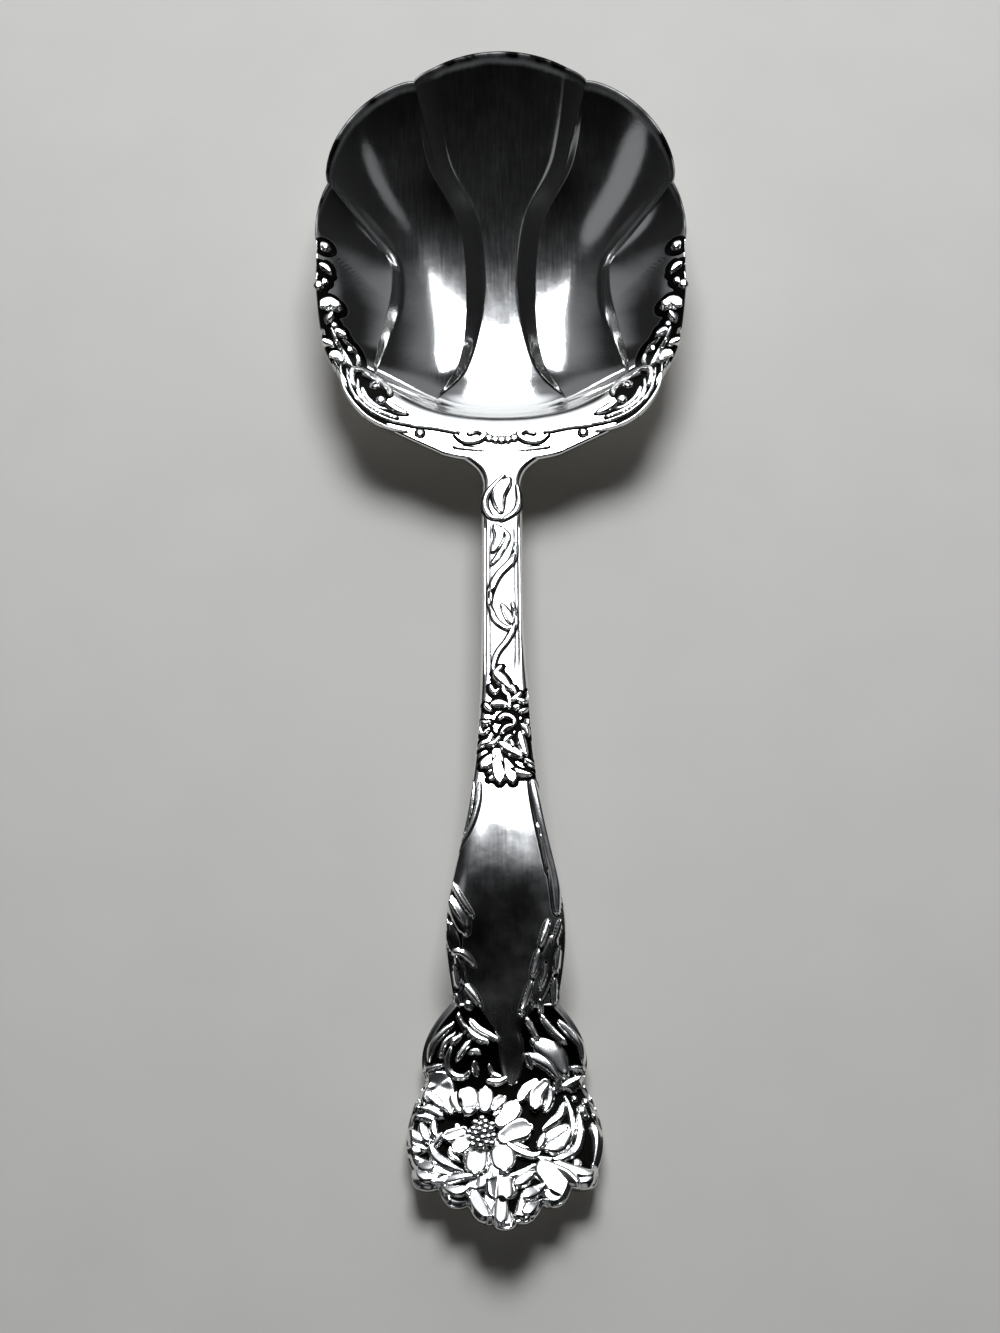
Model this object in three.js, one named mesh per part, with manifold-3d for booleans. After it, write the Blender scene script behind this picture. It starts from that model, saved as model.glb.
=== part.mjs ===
// Berry spoon: a scalloped, fluted serving bowl lapped and soldered to a floral handle,
// with cast scroll mounts on the bowl's rim and cast foliage on the handle.
// Millimetres, +Z up. The spoon lies along Y, with the bowl's tip at +Y, as it rests on a table.
// The origin is on the table, under the middle of the spoon's length.
import * as THREE from "three";
import { mergeVertices } from "three/addons/utils/BufferGeometryUtils.js";
import Module from "manifold-3d";

const wasm = await Module();
wasm.setup();
const { lerp, clamp, smoothstep } = THREE.MathUtils;

// Driving dimensions of the whole spoon
const overallLength = 225.3;
const solderGap = 0.3;
const footTrim = 0.3;
const crumbVolume = 0.01;
const weldSize = 0.002;
const leafSink = 0.8;

// Driving dimensions of the bowl
const bowlLength = 87;
const bowlWidth = 67.6;
const bowlDepth = 13.2;
const bowlWall = 1.1;
const bowlRimRise = 7;
const deepestFromRoot = 25;
const flangeWidth = 4.6;
const rootFlangeWidth = 7.4;
const flangeFall = 1.4;
const rimLipWidth = 0.6;
const lobeEase = 22;
const fluteHeight = 1.1;
const tipLobeWidth = 32.6;
const tipLobeRise = 7.5;
const shoulderLobeRise = 5.4;
const sideLobeRise = 1.1;
const cornerRoundness = 0.9;
const lobeFullness = 0.75;
const rootSag = 1.9;
const cornerFromRoot = 7.8;
const sideFromRoot = 15.6;
const tipLobeLength = 14;
const shoulderNotchFromTip = 29.6;
const waistWidth = 13;
const waistFromRoot = 40;

// Driving dimensions of the rim mounts
const railRadius = 1.05;
const railInset = 1.6;
const innerRailOffset = 2.6;
const scrollRadius = 0.9;
const backingThickness = 0.6;
const backingInset = 0.6;
const mountLength = 45;
const beadRadius = 1.3;
const curlRadius = 2.9;
const cartoucheWidth = 10;
const cartoucheFromRoot = 2.9;

// Driving dimensions of the handle
const archHeight = 14;
const archFromEnd = 70.2;
const lowFromEnd = 24;
const lowTopHeight = 2.9;
const endRise = 6;
const stemWidth = 6.8;
const stemThickness = 3.8;
const stemCrown = 0.9;
const rootFlare = 3;
const panelWidth = 19.2;
const panelThickness = 3.2;
const panelCrown = 1.1;
const panelPillow = 0.35;
const panelEase = 14;
const panelFromEnd = 50.4;
const neckWidth = 16.2;
const neckFromEnd = 35.8;
const terminalWidth = 31;
const terminalThickness = 2.6;
const terminalCrown = 1.1;
const terminalLeafRelief = 0.8;
const terminalDrop = 0.5;
const terminalLap = 8;
const terminalScrollRadius = 4.6;
const shoulderLeafLength = 12;
const shoulderLeafRelief = 0.9;
const edgeThickness = 1.5;
const heelLength = 16;
const heelWidth = 8.4;
const heelThickness = 2.2;
const heelLap = 4;

// Driving dimensions of the cast foliage
const collarLength = 21;
const collarWidth = 7.8;
const collarFromArch = 24.2;
const collarRelief = 1.5;
const blossomRadius = 7;
const blossomHeight = 4.2;
const petalThickness = 0.9;
const petalCount = 6;
const stamenCount = 9;
const budLength = 4.6;
const budWidth = 4.4;
const budRelief = 1.7;
const budClearance = 1.7;
const stalkRadius = 1;
const sprayLeafLength = 7.6;

// Places worked out from the driving dimensions
const tipY = overallLength / 2;
const endY = -overallLength / 2;
const rootY = tipY - bowlLength;
const deepestY = rootY + deepestFromRoot;
const halfBowl = bowlWidth / 2;
const rimHeightAtDeepest = bowlDepth + bowlWall - footTrim;
const archY = endY + archFromEnd;
const lowY = endY + lowFromEnd;
const panelY = endY + panelFromEnd;
const neckY = endY + neckFromEnd;
const stemLength = rootY - archY;
const rootHeight = rimHeight(rootY);

function v2(x, y) {
  return new THREE.Vector2(x, y);
}

function v3(x, y, z) {
  return new THREE.Vector3(x, y, z);
}

// Solids: closed meshes in, closed meshes out

function solidOf(geometry) {
  const bare = new THREE.BufferGeometry().setAttribute("position", geometry.getAttribute("position"));
  if (geometry.index) bare.setIndex(geometry.index);
  const merged = mergeVertices(bare, 1e-4);
  return new wasm.Manifold(
    new wasm.Mesh({
      numProp: 3,
      vertProperties: new Float32Array(merged.getAttribute("position").array),
      triVerts: new Uint32Array(merged.index.array),
    }),
  );
}

// Cuts leave points closer together than the weld size. They become one point, and a face that closes up,
// or lies back to back with another, goes.
function geometryOf(solid) {
  const { vertProperties, triVerts } = solid.getMesh();
  const places = new Map();
  const positions = [];
  const weld = (vertex) => {
    const steps = [0, 1, 2].map((axis) => Math.round(vertProperties[3 * vertex + axis] / weldSize));
    const key = steps.join();
    if (!places.has(key)) {
      places.set(key, places.size);
      positions.push(...steps.map((count) => count * weldSize));
    }
    return places.get(key);
  };
  const faces = new Map();
  for (let k = 0; k < triVerts.length; k += 3) {
    const corners = [0, 1, 2].map((corner) => weld(triVerts[k + corner]));
    if (new Set(corners).size < 3) continue;
    const key = [...corners].sort((m, n) => m - n).join();
    if (!faces.delete(key)) faces.set(key, corners);
  }
  const geometry = new THREE.BufferGeometry();
  geometry.setAttribute("position", new THREE.Float32BufferAttribute(positions, 3));
  geometry.setIndex([...faces.values()].flat());
  geometry.computeVertexNormals();
  return geometry;
}

function joined(solids) {
  return solids.reduce((sum, next) => sum.add(next));
}

// A cut beside a seam can leave crumbs of no real volume. Only they are dropped.
function cutBy(solid, cutter) {
  return joined(solid.subtract(cutter).decompose().filter((body) => body.volume() > crumbVolume));
}

// A closed plate between two grids of points: rows run along it, columns across it.
function plate(top, bottom) {
  const rows = top.length;
  const columns = top[0].length;
  const positions = [];
  for (const grid of [top, bottom]) for (const row of grid) for (const p of row) positions.push(p.x, p.y, p.z);
  const upper = (i, j) => i * columns + j;
  const lower = (i, j) => rows * columns + upper(i, j);
  const index = [];
  for (let i = 0; i + 1 < rows; i++) {
    for (let j = 0; j + 1 < columns; j++) {
      const corners = [[i, j], [i, j + 1], [i + 1, j + 1], [i + 1, j]];
      const turn = j < (columns - 1) / 2 ? 1 : 0;
      const [a, b, c, d] = corners.map((corner, k) => corners[(k + turn) % 4]);
      index.push(upper(...a), upper(...b), upper(...c), upper(...a), upper(...c), upper(...d));
      index.push(lower(...a), lower(...c), lower(...b), lower(...a), lower(...d), lower(...c));
    }
  }
  const edge = [];
  for (let j = 0; j + 1 < columns; j++) edge.push([0, j]);
  for (let i = 0; i + 1 < rows; i++) edge.push([i, columns - 1]);
  for (let j = columns - 1; j > 0; j--) edge.push([rows - 1, j]);
  for (let i = rows - 1; i > 0; i--) edge.push([i, 0]);
  edge.forEach((from, k) => {
    const to = edge[(k + 1) % edge.length];
    index.push(upper(...from), lower(...from), lower(...to));
    index.push(upper(...from), lower(...to), upper(...to));
  });
  const geometry = new THREE.BufferGeometry();
  geometry.setAttribute("position", new THREE.Float32BufferAttribute(positions, 3));
  geometry.setIndex(index);
  return solidOf(geometry);
}

// A round bar of changing radius along a line of points, with pointed ends.
function bar(points, radiusAt, sides = 5) {
  const last = points.length - 1;
  const positions = [];
  const ahead = v3(0, 0, 0);
  points.forEach((p, i) => {
    ahead.copy(points[Math.min(i + 1, last)]).sub(points[Math.max(i - 1, 0)]).normalize();
    const across = v3(0, 0, 1).cross(ahead).normalize();
    const up = ahead.clone().cross(across);
    for (let k = 0; k < sides; k++) {
      const angle = (2 * Math.PI * k) / sides;
      const q = p.clone();
      q.addScaledVector(across, radiusAt(i / last) * Math.cos(angle));
      q.addScaledVector(up, radiusAt(i / last) * Math.sin(angle));
      positions.push(q.x, q.y, q.z);
    }
  });
  const endReach = (i, step) => {
    const outward = points[i].clone().sub(points[i + step]).normalize();
    return points[i].clone().addScaledVector(outward, 0.6 * radiusAt(i / last));
  };
  const start = endReach(0, 1);
  const finish = endReach(last, -1);
  positions.push(start.x, start.y, start.z, finish.x, finish.y, finish.z);
  const startIndex = points.length * sides;
  const index = [];
  for (let k = 0; k < sides; k++) {
    const next = (k + 1) % sides;
    for (let i = 0; i < last; i++) {
      const a = i * sides + k;
      const b = i * sides + next;
      index.push(a, b, b + sides, a, b + sides, a + sides);
    }
    index.push(startIndex, next, k);
    index.push(startIndex + 1, last * sides + k, last * sides + next);
  }
  const geometry = new THREE.BufferGeometry();
  geometry.setAttribute("position", new THREE.Float32BufferAttribute(positions, 3));
  geometry.setIndex(index);
  return solidOf(geometry);
}

function bead(center, radius, stretch = 1) {
  const geometry = new THREE.SphereGeometry(radius, 7, 4);
  geometry.scale(1, stretch, 1);
  geometry.translate(center.x, center.y, center.z);
  return solidOf(geometry);
}

// A leaf or petal: a pointed lens from foot to tip in plan, bent sideways, lying on a surface.
function leaf({ foot, tip, width, bend = 0, relief, cup = 0, heightAt, fullness = 0.8, reach = 0.9, rows = 8 }) {
  const columns = 4;
  const along = tip.clone().sub(foot);
  const across = v2(along.y, -along.x).normalize();
  const top = [];
  const bottom = [];
  for (let i = 0; i <= rows; i++) {
    const s = i / rows;
    const halfWidth = 0.5 * width * Math.max(0.12, Math.sin(Math.PI * (0.06 + reach * s ** fullness)));
    const spine = foot.clone().addScaledVector(along, s).addScaledVector(across, bend * 4 * s * (1 - s));
    top.push([]);
    bottom.push([]);
    for (let j = 0; j <= columns; j++) {
      const t = (2 * j) / columns - 1;
      const at = spine.clone().addScaledVector(across, t * halfWidth);
      const base = heightAt(at.x, at.y);
      const crown = relief * (0.45 + 0.55 * Math.sin(Math.PI * clamp(s, 0.08, 0.92))) * (1 - 0.55 * t * t);
      top[i].push(v3(at.x, at.y, base + crown + cup * s * s));
      bottom[i].push(v3(at.x, at.y, base - leafSink));
    }
  }
  return plate(top, bottom);
}

// Everything below the table is cut away, which leaves the small flats that the spoon stands on.
function standing(solid) {
  const ground = new THREE.BoxGeometry(overallLength, 2 * overallLength, overallLength);
  ground.translate(0, 0, -overallLength / 2);
  return solid.subtract(solidOf(ground));
}

// The bowl

function rimHeight(y) {
  return rimHeightAtDeepest + (bowlRimRise * (y - deepestY)) / bowlLength;
}

// Height of the smooth dish: a parabola from the deepest point out to a flange that slopes up to the rim.
// Towards the stem its outline is an ellipse, and towards the tip an oval that spreads into the rim's lobes.
function dishHeight(x, y) {
  const dy = y - deepestY;
  const power = dy < 0 ? 2 : 2.6;
  const reachY = dy < 0 ? deepestFromRoot : bowlLength - deepestFromRoot;
  const run = Math.max(Math.hypot(x, dy), 1e-6);
  const oval = Math.max(1e-6, (Math.abs(x / halfBowl) ** power + Math.abs(dy / reachY) ** power) ** (1 / power));
  const lobed = run / farRimReach(Math.abs(x), dy);
  const share = lerp(oval, lobed, smoothstep(dy, 2, lobeEase) * smoothstep(lobed, 0.45, 0.95));
  const reach = run / share;
  const nearFlange = lerp(flangeWidth, rootFlangeWidth, smoothstep(-dy, 0.3 * deepestFromRoot, deepestFromRoot));
  const farShare = smoothstep(dy, 0.12 * bowlLength, 0.3 * bowlLength);
  const flangeShare = lerp(nearFlange, rimLipWidth, farShare) / reach;
  const fall = lerp(flangeFall, 0, farShare);
  const onFlange = (share - 1 + flangeShare) / flangeShare;
  if (onFlange > 0) return rimHeight(y) - fall * (1 - Math.min(1, onFlange));
  return rimHeight(y) - fall - (bowlDepth - fall) * (1 - (share / (1 - flangeShare)) ** 2);
}

// The right half's guide lines in plan, from the rim at the root to the rim at the far side.
const innerCrease = new THREE.SplineCurve([
  v2(0.33 * halfBowl, rootY + rootSag),
  v2(0.37 * halfBowl, rootY + 0.42 * waistFromRoot),
  v2(0.6 * waistWidth, rootY + 0.68 * waistFromRoot),
  v2(0.5 * waistWidth, rootY + waistFromRoot),
  v2(0.6 * waistWidth, rootY + 1.36 * waistFromRoot),
  v2(0.42 * tipLobeWidth, tipY - tipLobeRise - tipLobeLength),
  v2(0.5 * tipLobeWidth, tipY - tipLobeRise),
]);
const outerCrease = new THREE.SplineCurve([
  v2(0.66 * halfBowl, rootY + cornerFromRoot),
  v2(0.69 * halfBowl, rootY + 0.53 * waistFromRoot),
  v2(0.6 * halfBowl, rootY + waistFromRoot),
  v2(0.66 * halfBowl, rootY + 1.2 * waistFromRoot),
  v2(0.945 * halfBowl, tipY - shoulderNotchFromTip),
]);
const rimEdge = new THREE.SplineCurve([
  v2(0.83 * halfBowl, rootY + sideFromRoot),
  v2(0.94 * halfBowl, rootY + lerp(sideFromRoot, mountLength, 0.27)),
  v2(0.99 * halfBowl, rootY + lerp(sideFromRoot, mountLength, 0.63)),
  v2(halfBowl, rootY + mountLength),
]);

// A point of the bowl in plan. u is 0 on the middle, 1 and 2 on the creases and 3 on the rim, and less
// than 0 on the left. v runs from the root to the far rim. Between two guides the rim bulges as a lobe.
function bowlPlan(u, v) {
  const side = Math.sign(u) || 1;
  const strip = Math.min(2, Math.floor(Math.abs(u)));
  const t = Math.abs(u) - strip;
  const inner = innerCrease.getPointAt(v);
  if (strip === 0) {
    const bulge = (1 - t * t) ** lobeFullness * lerp(-rootSag * (1 - v) ** 3, tipLobeRise, v ** 3);
    return v2(side * t * inner.x, inner.y + bulge);
  }
  const outer = outerCrease.getPointAt(v);
  const [from, to] = strip === 1 ? [inner, outer] : [outer, rimEdge.getPointAt(v)];
  const outward = v2(from.y - to.y, to.x - from.x).normalize();
  const [farRise, rootRise] = strip === 1 ? [shoulderLobeRise, 0] : [sideLobeRise, cornerRoundness];
  const bulge = (4 * t * (1 - t)) ** lobeFullness * (farRise * v ** 4 - rootRise * (1 - v) ** 4);
  const at = from.clone().lerp(to, t).addScaledVector(outward, bulge);
  return v2(side * at.x, at.y);
}

// The far rim's lobes as seen from the deepest point: directions from the side round to the tip, each with
// its distance, and the distance in any direction between them.
const farRim = [];
const farRimSteps = 60;
for (let k = 0; k <= farRimSteps; k++) {
  const at = bowlPlan(3 - (3 * k) / farRimSteps, 1).sub(v2(0, deepestY));
  farRim.push({ turn: at.angle(), distance: at.length() });
}

function farRimReach(x, dy) {
  const turn = Math.atan2(dy, x);
  const k = clamp(farRim.findIndex((sample) => sample.turn >= turn), 1, farRimSteps);
  const [from, to] = [farRim[k - 1], farRim[k]];
  return lerp(from.distance, to.distance, clamp((turn - from.turn) / (to.turn - from.turn), 0, 1));
}

// Each crease is a ridge that falls steeply towards the middle and softly away from it.
function fluteRelief(u, v) {
  const across = Math.abs(u);
  const swell = smoothstep(v, 0.16, 0.42);
  const ridge = (crease) => {
    const off = across - crease;
    const share = off < 0 ? 1 + off / 0.3 : 1 - off / 0.6;
    return share > 0 ? share * share * (3 - 2 * share) : 0;
  };
  return fluteHeight * swell * Math.max(ridge(1), ridge(2));
}

function bowlPoint(u, v) {
  const at = bowlPlan(u, v);
  return v3(at.x, at.y, dishHeight(at.x, at.y) + fluteRelief(u, v));
}

function bowlNormal(u, v) {
  const step = 0.004;
  const alongU = bowlPoint(Math.min(3, u + step), v).sub(bowlPoint(Math.max(-3, u - step), v));
  const alongV = bowlPoint(u, Math.min(1, v + step)).sub(bowlPoint(u, Math.max(0, v - step)));
  return alongU.cross(alongV).normalize();
}

// The bowl's shell. What is soldered to it is cut with the same shell, grown by the solder gap.
function bowlShell(grow = 0) {
  const stations = [];
  const cells = [[0, 1, 5], [1, 2, 6], [2, 3, 4]];
  for (const [from, to, count] of cells) {
    for (let k = 0; k < count; k++) stations.push(lerp(from, to, k / count));
  }
  stations.push(3);
  const across = [...stations.slice(1).reverse().map((u) => -u), ...stations];
  const rows = 22;
  const top = [];
  const bottom = [];
  for (let i = 0; i <= rows; i++) {
    const v = i / rows;
    top.push([]);
    bottom.push([]);
    across.forEach((u) => {
      const point = bowlPoint(u, v);
      const normal = bowlNormal(u, v);
      const outward = v3(point.x, point.y - deepestY, 0).normalize();
      const edge = i === 0 || i === rows || Math.abs(u) === 3 ? grow : 0;
      top[i].push(point.clone().addScaledVector(normal, grow).addScaledVector(outward, edge));
      bottom[i].push(point.clone().addScaledVector(normal, -bowlWall - grow).addScaledVector(outward, edge));
    });
  }
  return plate(top, bottom);
}

// The handle

// Height of the handle's top along its middle: it rises gently from the root to the crown of its arch,
// falls in an S to where it touches the table, and turns up from there to the end.
function archTop(y) {
  if (y > archY) return lerp(archHeight, rootHeight, ((y - archY) / stemLength) ** 2);
  const s = (archY - y) / (archY - lowY);
  if (s < 1) return lerp(archHeight, lowTopHeight, s ** 3 * (4 - 3 * s));
  return lowTopHeight + endRise * ((lowY - y) / lowFromEnd) ** 2;
}

const handleOutline = new THREE.SplineCurve([
  v2(1.45 * stemWidth, rootY + rootFlare),
  v2(0.66 * stemWidth, rootY - rootFlare),
  v2(0.52 * stemWidth, rootY - 0.157 * stemLength),
  v2(0.5 * stemWidth, rootY - 0.43 * stemLength),
  v2(0.64 * stemWidth, archY + 0.23 * stemLength),
  v2(0.32 * panelWidth, lerp(archY, panelY, 0.05)),
  v2(0.5 * panelWidth, panelY),
  v2(0.5 * neckWidth, neckY),
  v2(0.5 * neckWidth, neckY - terminalLap),
]);

function handleThickness(y) {
  const intoPanel = smoothstep((archY - y) / stemLength, -0.34, 0.17);
  const intoTerminal = smoothstep(neckY - y, -terminalLap, terminalLap);
  return lerp(lerp(stemThickness, panelThickness, intoPanel), terminalThickness, intoTerminal);
}

// The stem and panel: a bar with a crowned stem and, past the collar, a pillowed panel in raised edges.
function handleBar(grow) {
  const rows = 36;
  const columns = 8;
  const top = [];
  const bottom = [];
  for (let i = 0; i <= rows; i++) {
    const at = handleOutline.getPoint(i / rows);
    const intoPanel = smoothstep(archY + 0.3 * panelEase - at.y, 0, panelEase);
    top.push([]);
    bottom.push([]);
    for (let j = 0; j <= columns; j++) {
      const t = (2 * j) / columns - 1;
      const x = t * (at.x + grow);
      const onStem = -stemCrown * t ** 4;
      const onPanel = panelPillow * Math.sin(Math.PI * Math.min(1, 1.15 * Math.abs(t))) ** 2 - panelCrown * t ** 6;
      const z = archTop(at.y);
      const back = handleThickness(at.y);
      const backEdge = lerp(back, edgeThickness, t ** 4);
      top[i].push(v3(x, at.y, z + lerp(onStem, onPanel, intoPanel) + grow));
      bottom[i].push(v3(x, at.y, z - backEdge - grow));
    }
  }
  top.reverse();
  bottom.reverse();
  return plate(top, bottom);
}

// A place down the terminal, as a share of its length from the neck to the end.
function down(share) {
  return lerp(neckY, endY, share);
}

// The terminal's edge in plan: leaf lobes between notches, from the neck round the end to the middle.
// Each point also says how near it is to its lobe's crest.
function terminalEdge() {
  const half = terminalWidth / 2;
  const lobes = [
    [0.99 * half, down(0.11), 0.81 * half, down(0.27)],
    [1.12 * half, down(0.505), 0.95 * half, down(0.688)],
    [0.98 * half, down(0.822), 0.67 * half, down(0.787)],
    [0.6 * half, down(0.92), 0.38 * half, down(0.872)],
    [0.28 * half, down(0.99), 0.12 * half, down(0.962)],
    [0.1 * half, endY, 0, endY],
  ];
  const steps = 5;
  const right = [{ at: v2(0.5 * neckWidth, neckY), crest: 0 }];
  for (const [bulgeX, bulgeY, notchX, notchY] of lobes) {
    const from = right[right.length - 1].at;
    const lobe = new THREE.QuadraticBezierCurve(from, v2(bulgeX, bulgeY), v2(notchX, notchY));
    const whole = notchX > 0 ? 1 : 0.5;
    for (let k = 1; k <= steps; k++) {
      right.push({ at: lobe.getPoint(k / steps), crest: Math.sin((Math.PI * whole * k) / steps) });
    }
  }
  const left = right.slice(0, -1).reverse().map(({ at, crest }) => ({ at: v2(-at.x, at.y), crest }));
  return [...right, ...left];
}

function terminalPlate(grow) {
  const edge = terminalEdge();
  const middle = v2(0, down(0.407));
  const rings = [0.4, 0.75, 1];
  const positions = [];
  const surface = (y, ring, crest, side) => {
    const crown = terminalCrown * (1 - ring * ring) + terminalLeafRelief * crest * ring;
    const thickness = lerp(terminalThickness, edgeThickness, ring ** 3);
    return archTop(y) - terminalDrop + (side > 0 ? crown + grow : -thickness - grow);
  };
  for (const side of [1, -1]) {
    positions.push(middle.x, middle.y, surface(middle.y, 0, 0, side));
    for (const ring of rings) {
      for (const { at, crest } of edge) {
        const out = at.clone().sub(middle);
        const reach = ring + (ring === 1 ? grow / out.length() : 0);
        const place = middle.clone().addScaledVector(out, reach);
        positions.push(place.x, place.y, surface(place.y, ring, crest, side));
      }
    }
  }
  const count = edge.length;
  const perFace = 1 + rings.length * count;
  const at = (side, ring, k) => (side > 0 ? 0 : perFace) + 1 + ring * count + (k % count);
  const index = [];
  for (let k = 0; k < count; k++) {
    index.push(0, at(1, 0, k + 1), at(1, 0, k));
    index.push(perFace, at(-1, 0, k), at(-1, 0, k + 1));
    for (let ring = 0; ring + 1 < rings.length; ring++) {
      const upper = [at(1, ring, k), at(1, ring, k + 1), at(1, ring + 1, k + 1), at(1, ring + 1, k)];
      const lower = [at(-1, ring, k), at(-1, ring, k + 1), at(-1, ring + 1, k + 1), at(-1, ring + 1, k)];
      index.push(upper[0], upper[1], upper[2], upper[0], upper[2], upper[3]);
      index.push(lower[0], lower[2], lower[1], lower[0], lower[3], lower[2]);
    }
    const outer = rings.length - 1;
    index.push(at(1, outer, k), at(1, outer, k + 1), at(-1, outer, k + 1));
    index.push(at(1, outer, k), at(-1, outer, k + 1), at(-1, outer, k));
  }
  const geometry = new THREE.BufferGeometry();
  geometry.setAttribute("position", new THREE.Float32BufferAttribute(positions, 3));
  geometry.setIndex(index);
  return solidOf(geometry);
}

// The heel: a tongue on the handle that laps under the bowl and carries the solder joint.
function heelTongue() {
  const rows = 10;
  const columns = 4;
  const step = 0.01;
  const top = [];
  const bottom = [];
  for (let i = 0; i <= rows; i++) {
    const s = i / rows;
    const y = lerp(rootY - heelLap, rootY + heelLength, s);
    const halfWidth = 0.5 * heelWidth * Math.sqrt(Math.max(0.02, 1 - s ** 3));
    top.push([]);
    bottom.push([]);
    for (let j = 0; j <= columns; j++) {
      const t = (2 * j) / columns - 1;
      const x = t * halfWidth;
      const inside = dishHeight(x, Math.max(y, rootY));
      const slope = (dishHeight(x, y + step) - dishHeight(x, y - step)) / (2 * step);
      const thickness = bowlWall + solderGap + heelThickness * (1 - 0.7 * s) * (1 - 0.6 * t * t);
      top[i].push(v3(x, y, inside - bowlWall * Math.hypot(1, slope)));
      bottom[i].push(v3(x, y, inside - thickness * Math.hypot(1, slope)));
    }
  }
  return plate(top, bottom);
}

// The struck scroll and the shoulder leaf at the head of the terminal.
function terminalScroll(grow) {
  const middle = v2(-0.31 * neckWidth, down(0.244));
  const steps = 14;
  const points = [];
  for (let i = 0; i <= steps; i++) {
    const s = i / steps;
    const angle = Math.PI * (0.35 + 2.6 * s);
    const radius = terminalScrollRadius * lerp(1, 0.26, s);
    const y = middle.y + radius * Math.sin(angle);
    points.push(v3(middle.x + radius * Math.cos(angle), y, archTop(y) + terminalScrollRadius * lerp(0.07, 0.17, s)));
  }
  return bar(points, (s) => terminalScrollRadius * lerp(0.2, 0.15, s) + grow);
}

function shoulderLeaf(grow) {
  return leaf({
    foot: v2(0.36 * neckWidth, neckY),
    tip: v2(0.62 * neckWidth, neckY - shoulderLeafLength),
    width: 0.36 * neckWidth + 2 * grow,
    bend: 0.1 * neckWidth,
    relief: shoulderLeafRelief + grow,
    heightAt: (x, y) => archTop(y) - 0.4 * terminalDrop,
  });
}

function handleBody(grow = 0) {
  return joined([handleBar(grow), terminalPlate(grow), terminalScroll(grow), shoulderLeaf(grow)]);
}

// Cast mounts and foliage

function onRim(x, y, lift) {
  return v3(x, y, dishHeight(x, y) + lift);
}

// A line in plan along the bowl's rim, from a mount's upper end to the shoulder, set in from the edge.
function railLine(side, inset) {
  const stations = [[3, 1], [3, 0.66], [3, 0.33], [3, 0], [2, 0], [1.5, 0], [1, 0], [0.66, 0]];
  const line = new THREE.SplineCurve(stations.map(([u, v]) => bowlPlan(u, v)));
  return (from, to, steps) => {
    const points = [];
    for (let i = 0; i <= steps; i++) {
      const along = lerp(from, to, i / steps);
      const at = line.getPoint(along);
      const ahead = line.getTangent(along);
      points.push(v2(side * (at.x + inset * ahead.y), at.y - inset * ahead.x));
    }
    return points;
  };
}

function rimMount(side, seat) {
  const outer = railLine(side, railInset);
  const inner = railLine(side, railInset + innerRailOffset);
  const raised = (points, lift) => points.map((p) => onRim(p.x, p.y, lift));
  const bandInsets = [backingInset, railInset, railInset + innerRailOffset + backingInset];
  const bandLines = bandInsets.map((inset) => railLine(side, inset)(0, 1, 14));
  if (side > 0) bandLines.reverse();
  const bandAt = (lift) => bandLines[0].map((p, i) => raised(bandLines.map((line) => line[i]), lift)).reverse();
  const pieces = [plate(bandAt(solderGap + backingThickness), bandAt(-0.5 * bowlWall))];
  pieces.push(bar(raised(outer(0, 1, 18), 0.5 * railRadius), (s) => railRadius * (0.75 + 0.45 * Math.sin(Math.PI * s))));
  pieces.push(bar(raised(inner(0.42, 0.97, 12), 0.65 * scrollRadius), (s) => scrollRadius * (1.1 - 0.6 * s)));
  const beads = [
    [0.03, 0.12, 1], [0.1, 0.04, 0.92], [0.16, 0, 0.85], [0.17, 0.73, 0.77], [0.25, 0.35, 1.46],
    [0.32, 0.08, 1], [0.36, 0.81, 0.92], [0.42, 0.08, 1], [0.43, 0.92, 0.85], [0.82, 0.62, 0.85],
  ];
  for (const [along, inset, size] of beads) {
    const [at] = railLine(side, railInset + inset * innerRailOffset)(along, along, 1);
    pieces.push(bead(onRim(at.x, at.y, 0.55 * size * beadRadius), size * beadRadius));
  }
  const curl = [];
  const turns = 1.35;
  const curlSteps = 14;
  const [middle] = railLine(side, railInset + innerRailOffset + 0.55 * curlRadius)(0.55, 0.55, 1);
  for (let i = 0; i <= curlSteps; i++) {
    const s = i / curlSteps;
    const angle = Math.PI * (0.95 - 2 * turns * s);
    const radius = curlRadius * lerp(1, 0.38, s);
    const x = middle.x - side * radius * Math.cos(angle);
    curl.push(onRim(x, middle.y + radius * Math.sin(angle), scrollRadius * lerp(0.55, 1.1, s)));
  }
  pieces.push(bar(curl, (s) => scrollRadius * (1.15 - 0.35 * s)));
  pieces.push(bead(onRim(middle.x, middle.y, 0.62 * beadRadius), 0.92 * beadRadius));
  return cutBy(joined(pieces), seat);
}

// The cartouche at the shoulder: two mirrored C-scrolls and a boss between the rim mounts.
function shoulderCartouche(seat) {
  const pieces = [];
  const half = cartoucheWidth / 2;
  const rise = rootY + cartoucheFromRoot;
  const lift = 0.55 * scrollRadius;
  for (const side of [-1, 1]) {
    const points = [];
    for (let i = 0; i <= 12; i++) {
      const angle = lerp(-0.35, 1.15, i / 12) * Math.PI;
      points.push(onRim(side * half * (0.62 + 0.38 * Math.cos(angle)), rise - 0.22 * half * Math.sin(angle), lift));
    }
    pieces.push(bar(points, (s) => 0.75 * scrollRadius * (0.7 + 0.5 * Math.sin(Math.PI * s))));
  }
  const bridge = [-0.34, -0.12, 0.12, 0.34].map((share) => onRim(share * half, rise - 0.08 * half, 0.8 * lift));
  pieces.push(bar(bridge, () => 0.8 * scrollRadius));
  pieces.push(bead(onRim(0, rise + 0.06 * half, lift), 0.85 * beadRadius));
  return cutBy(joined(pieces), seat);
}

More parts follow.
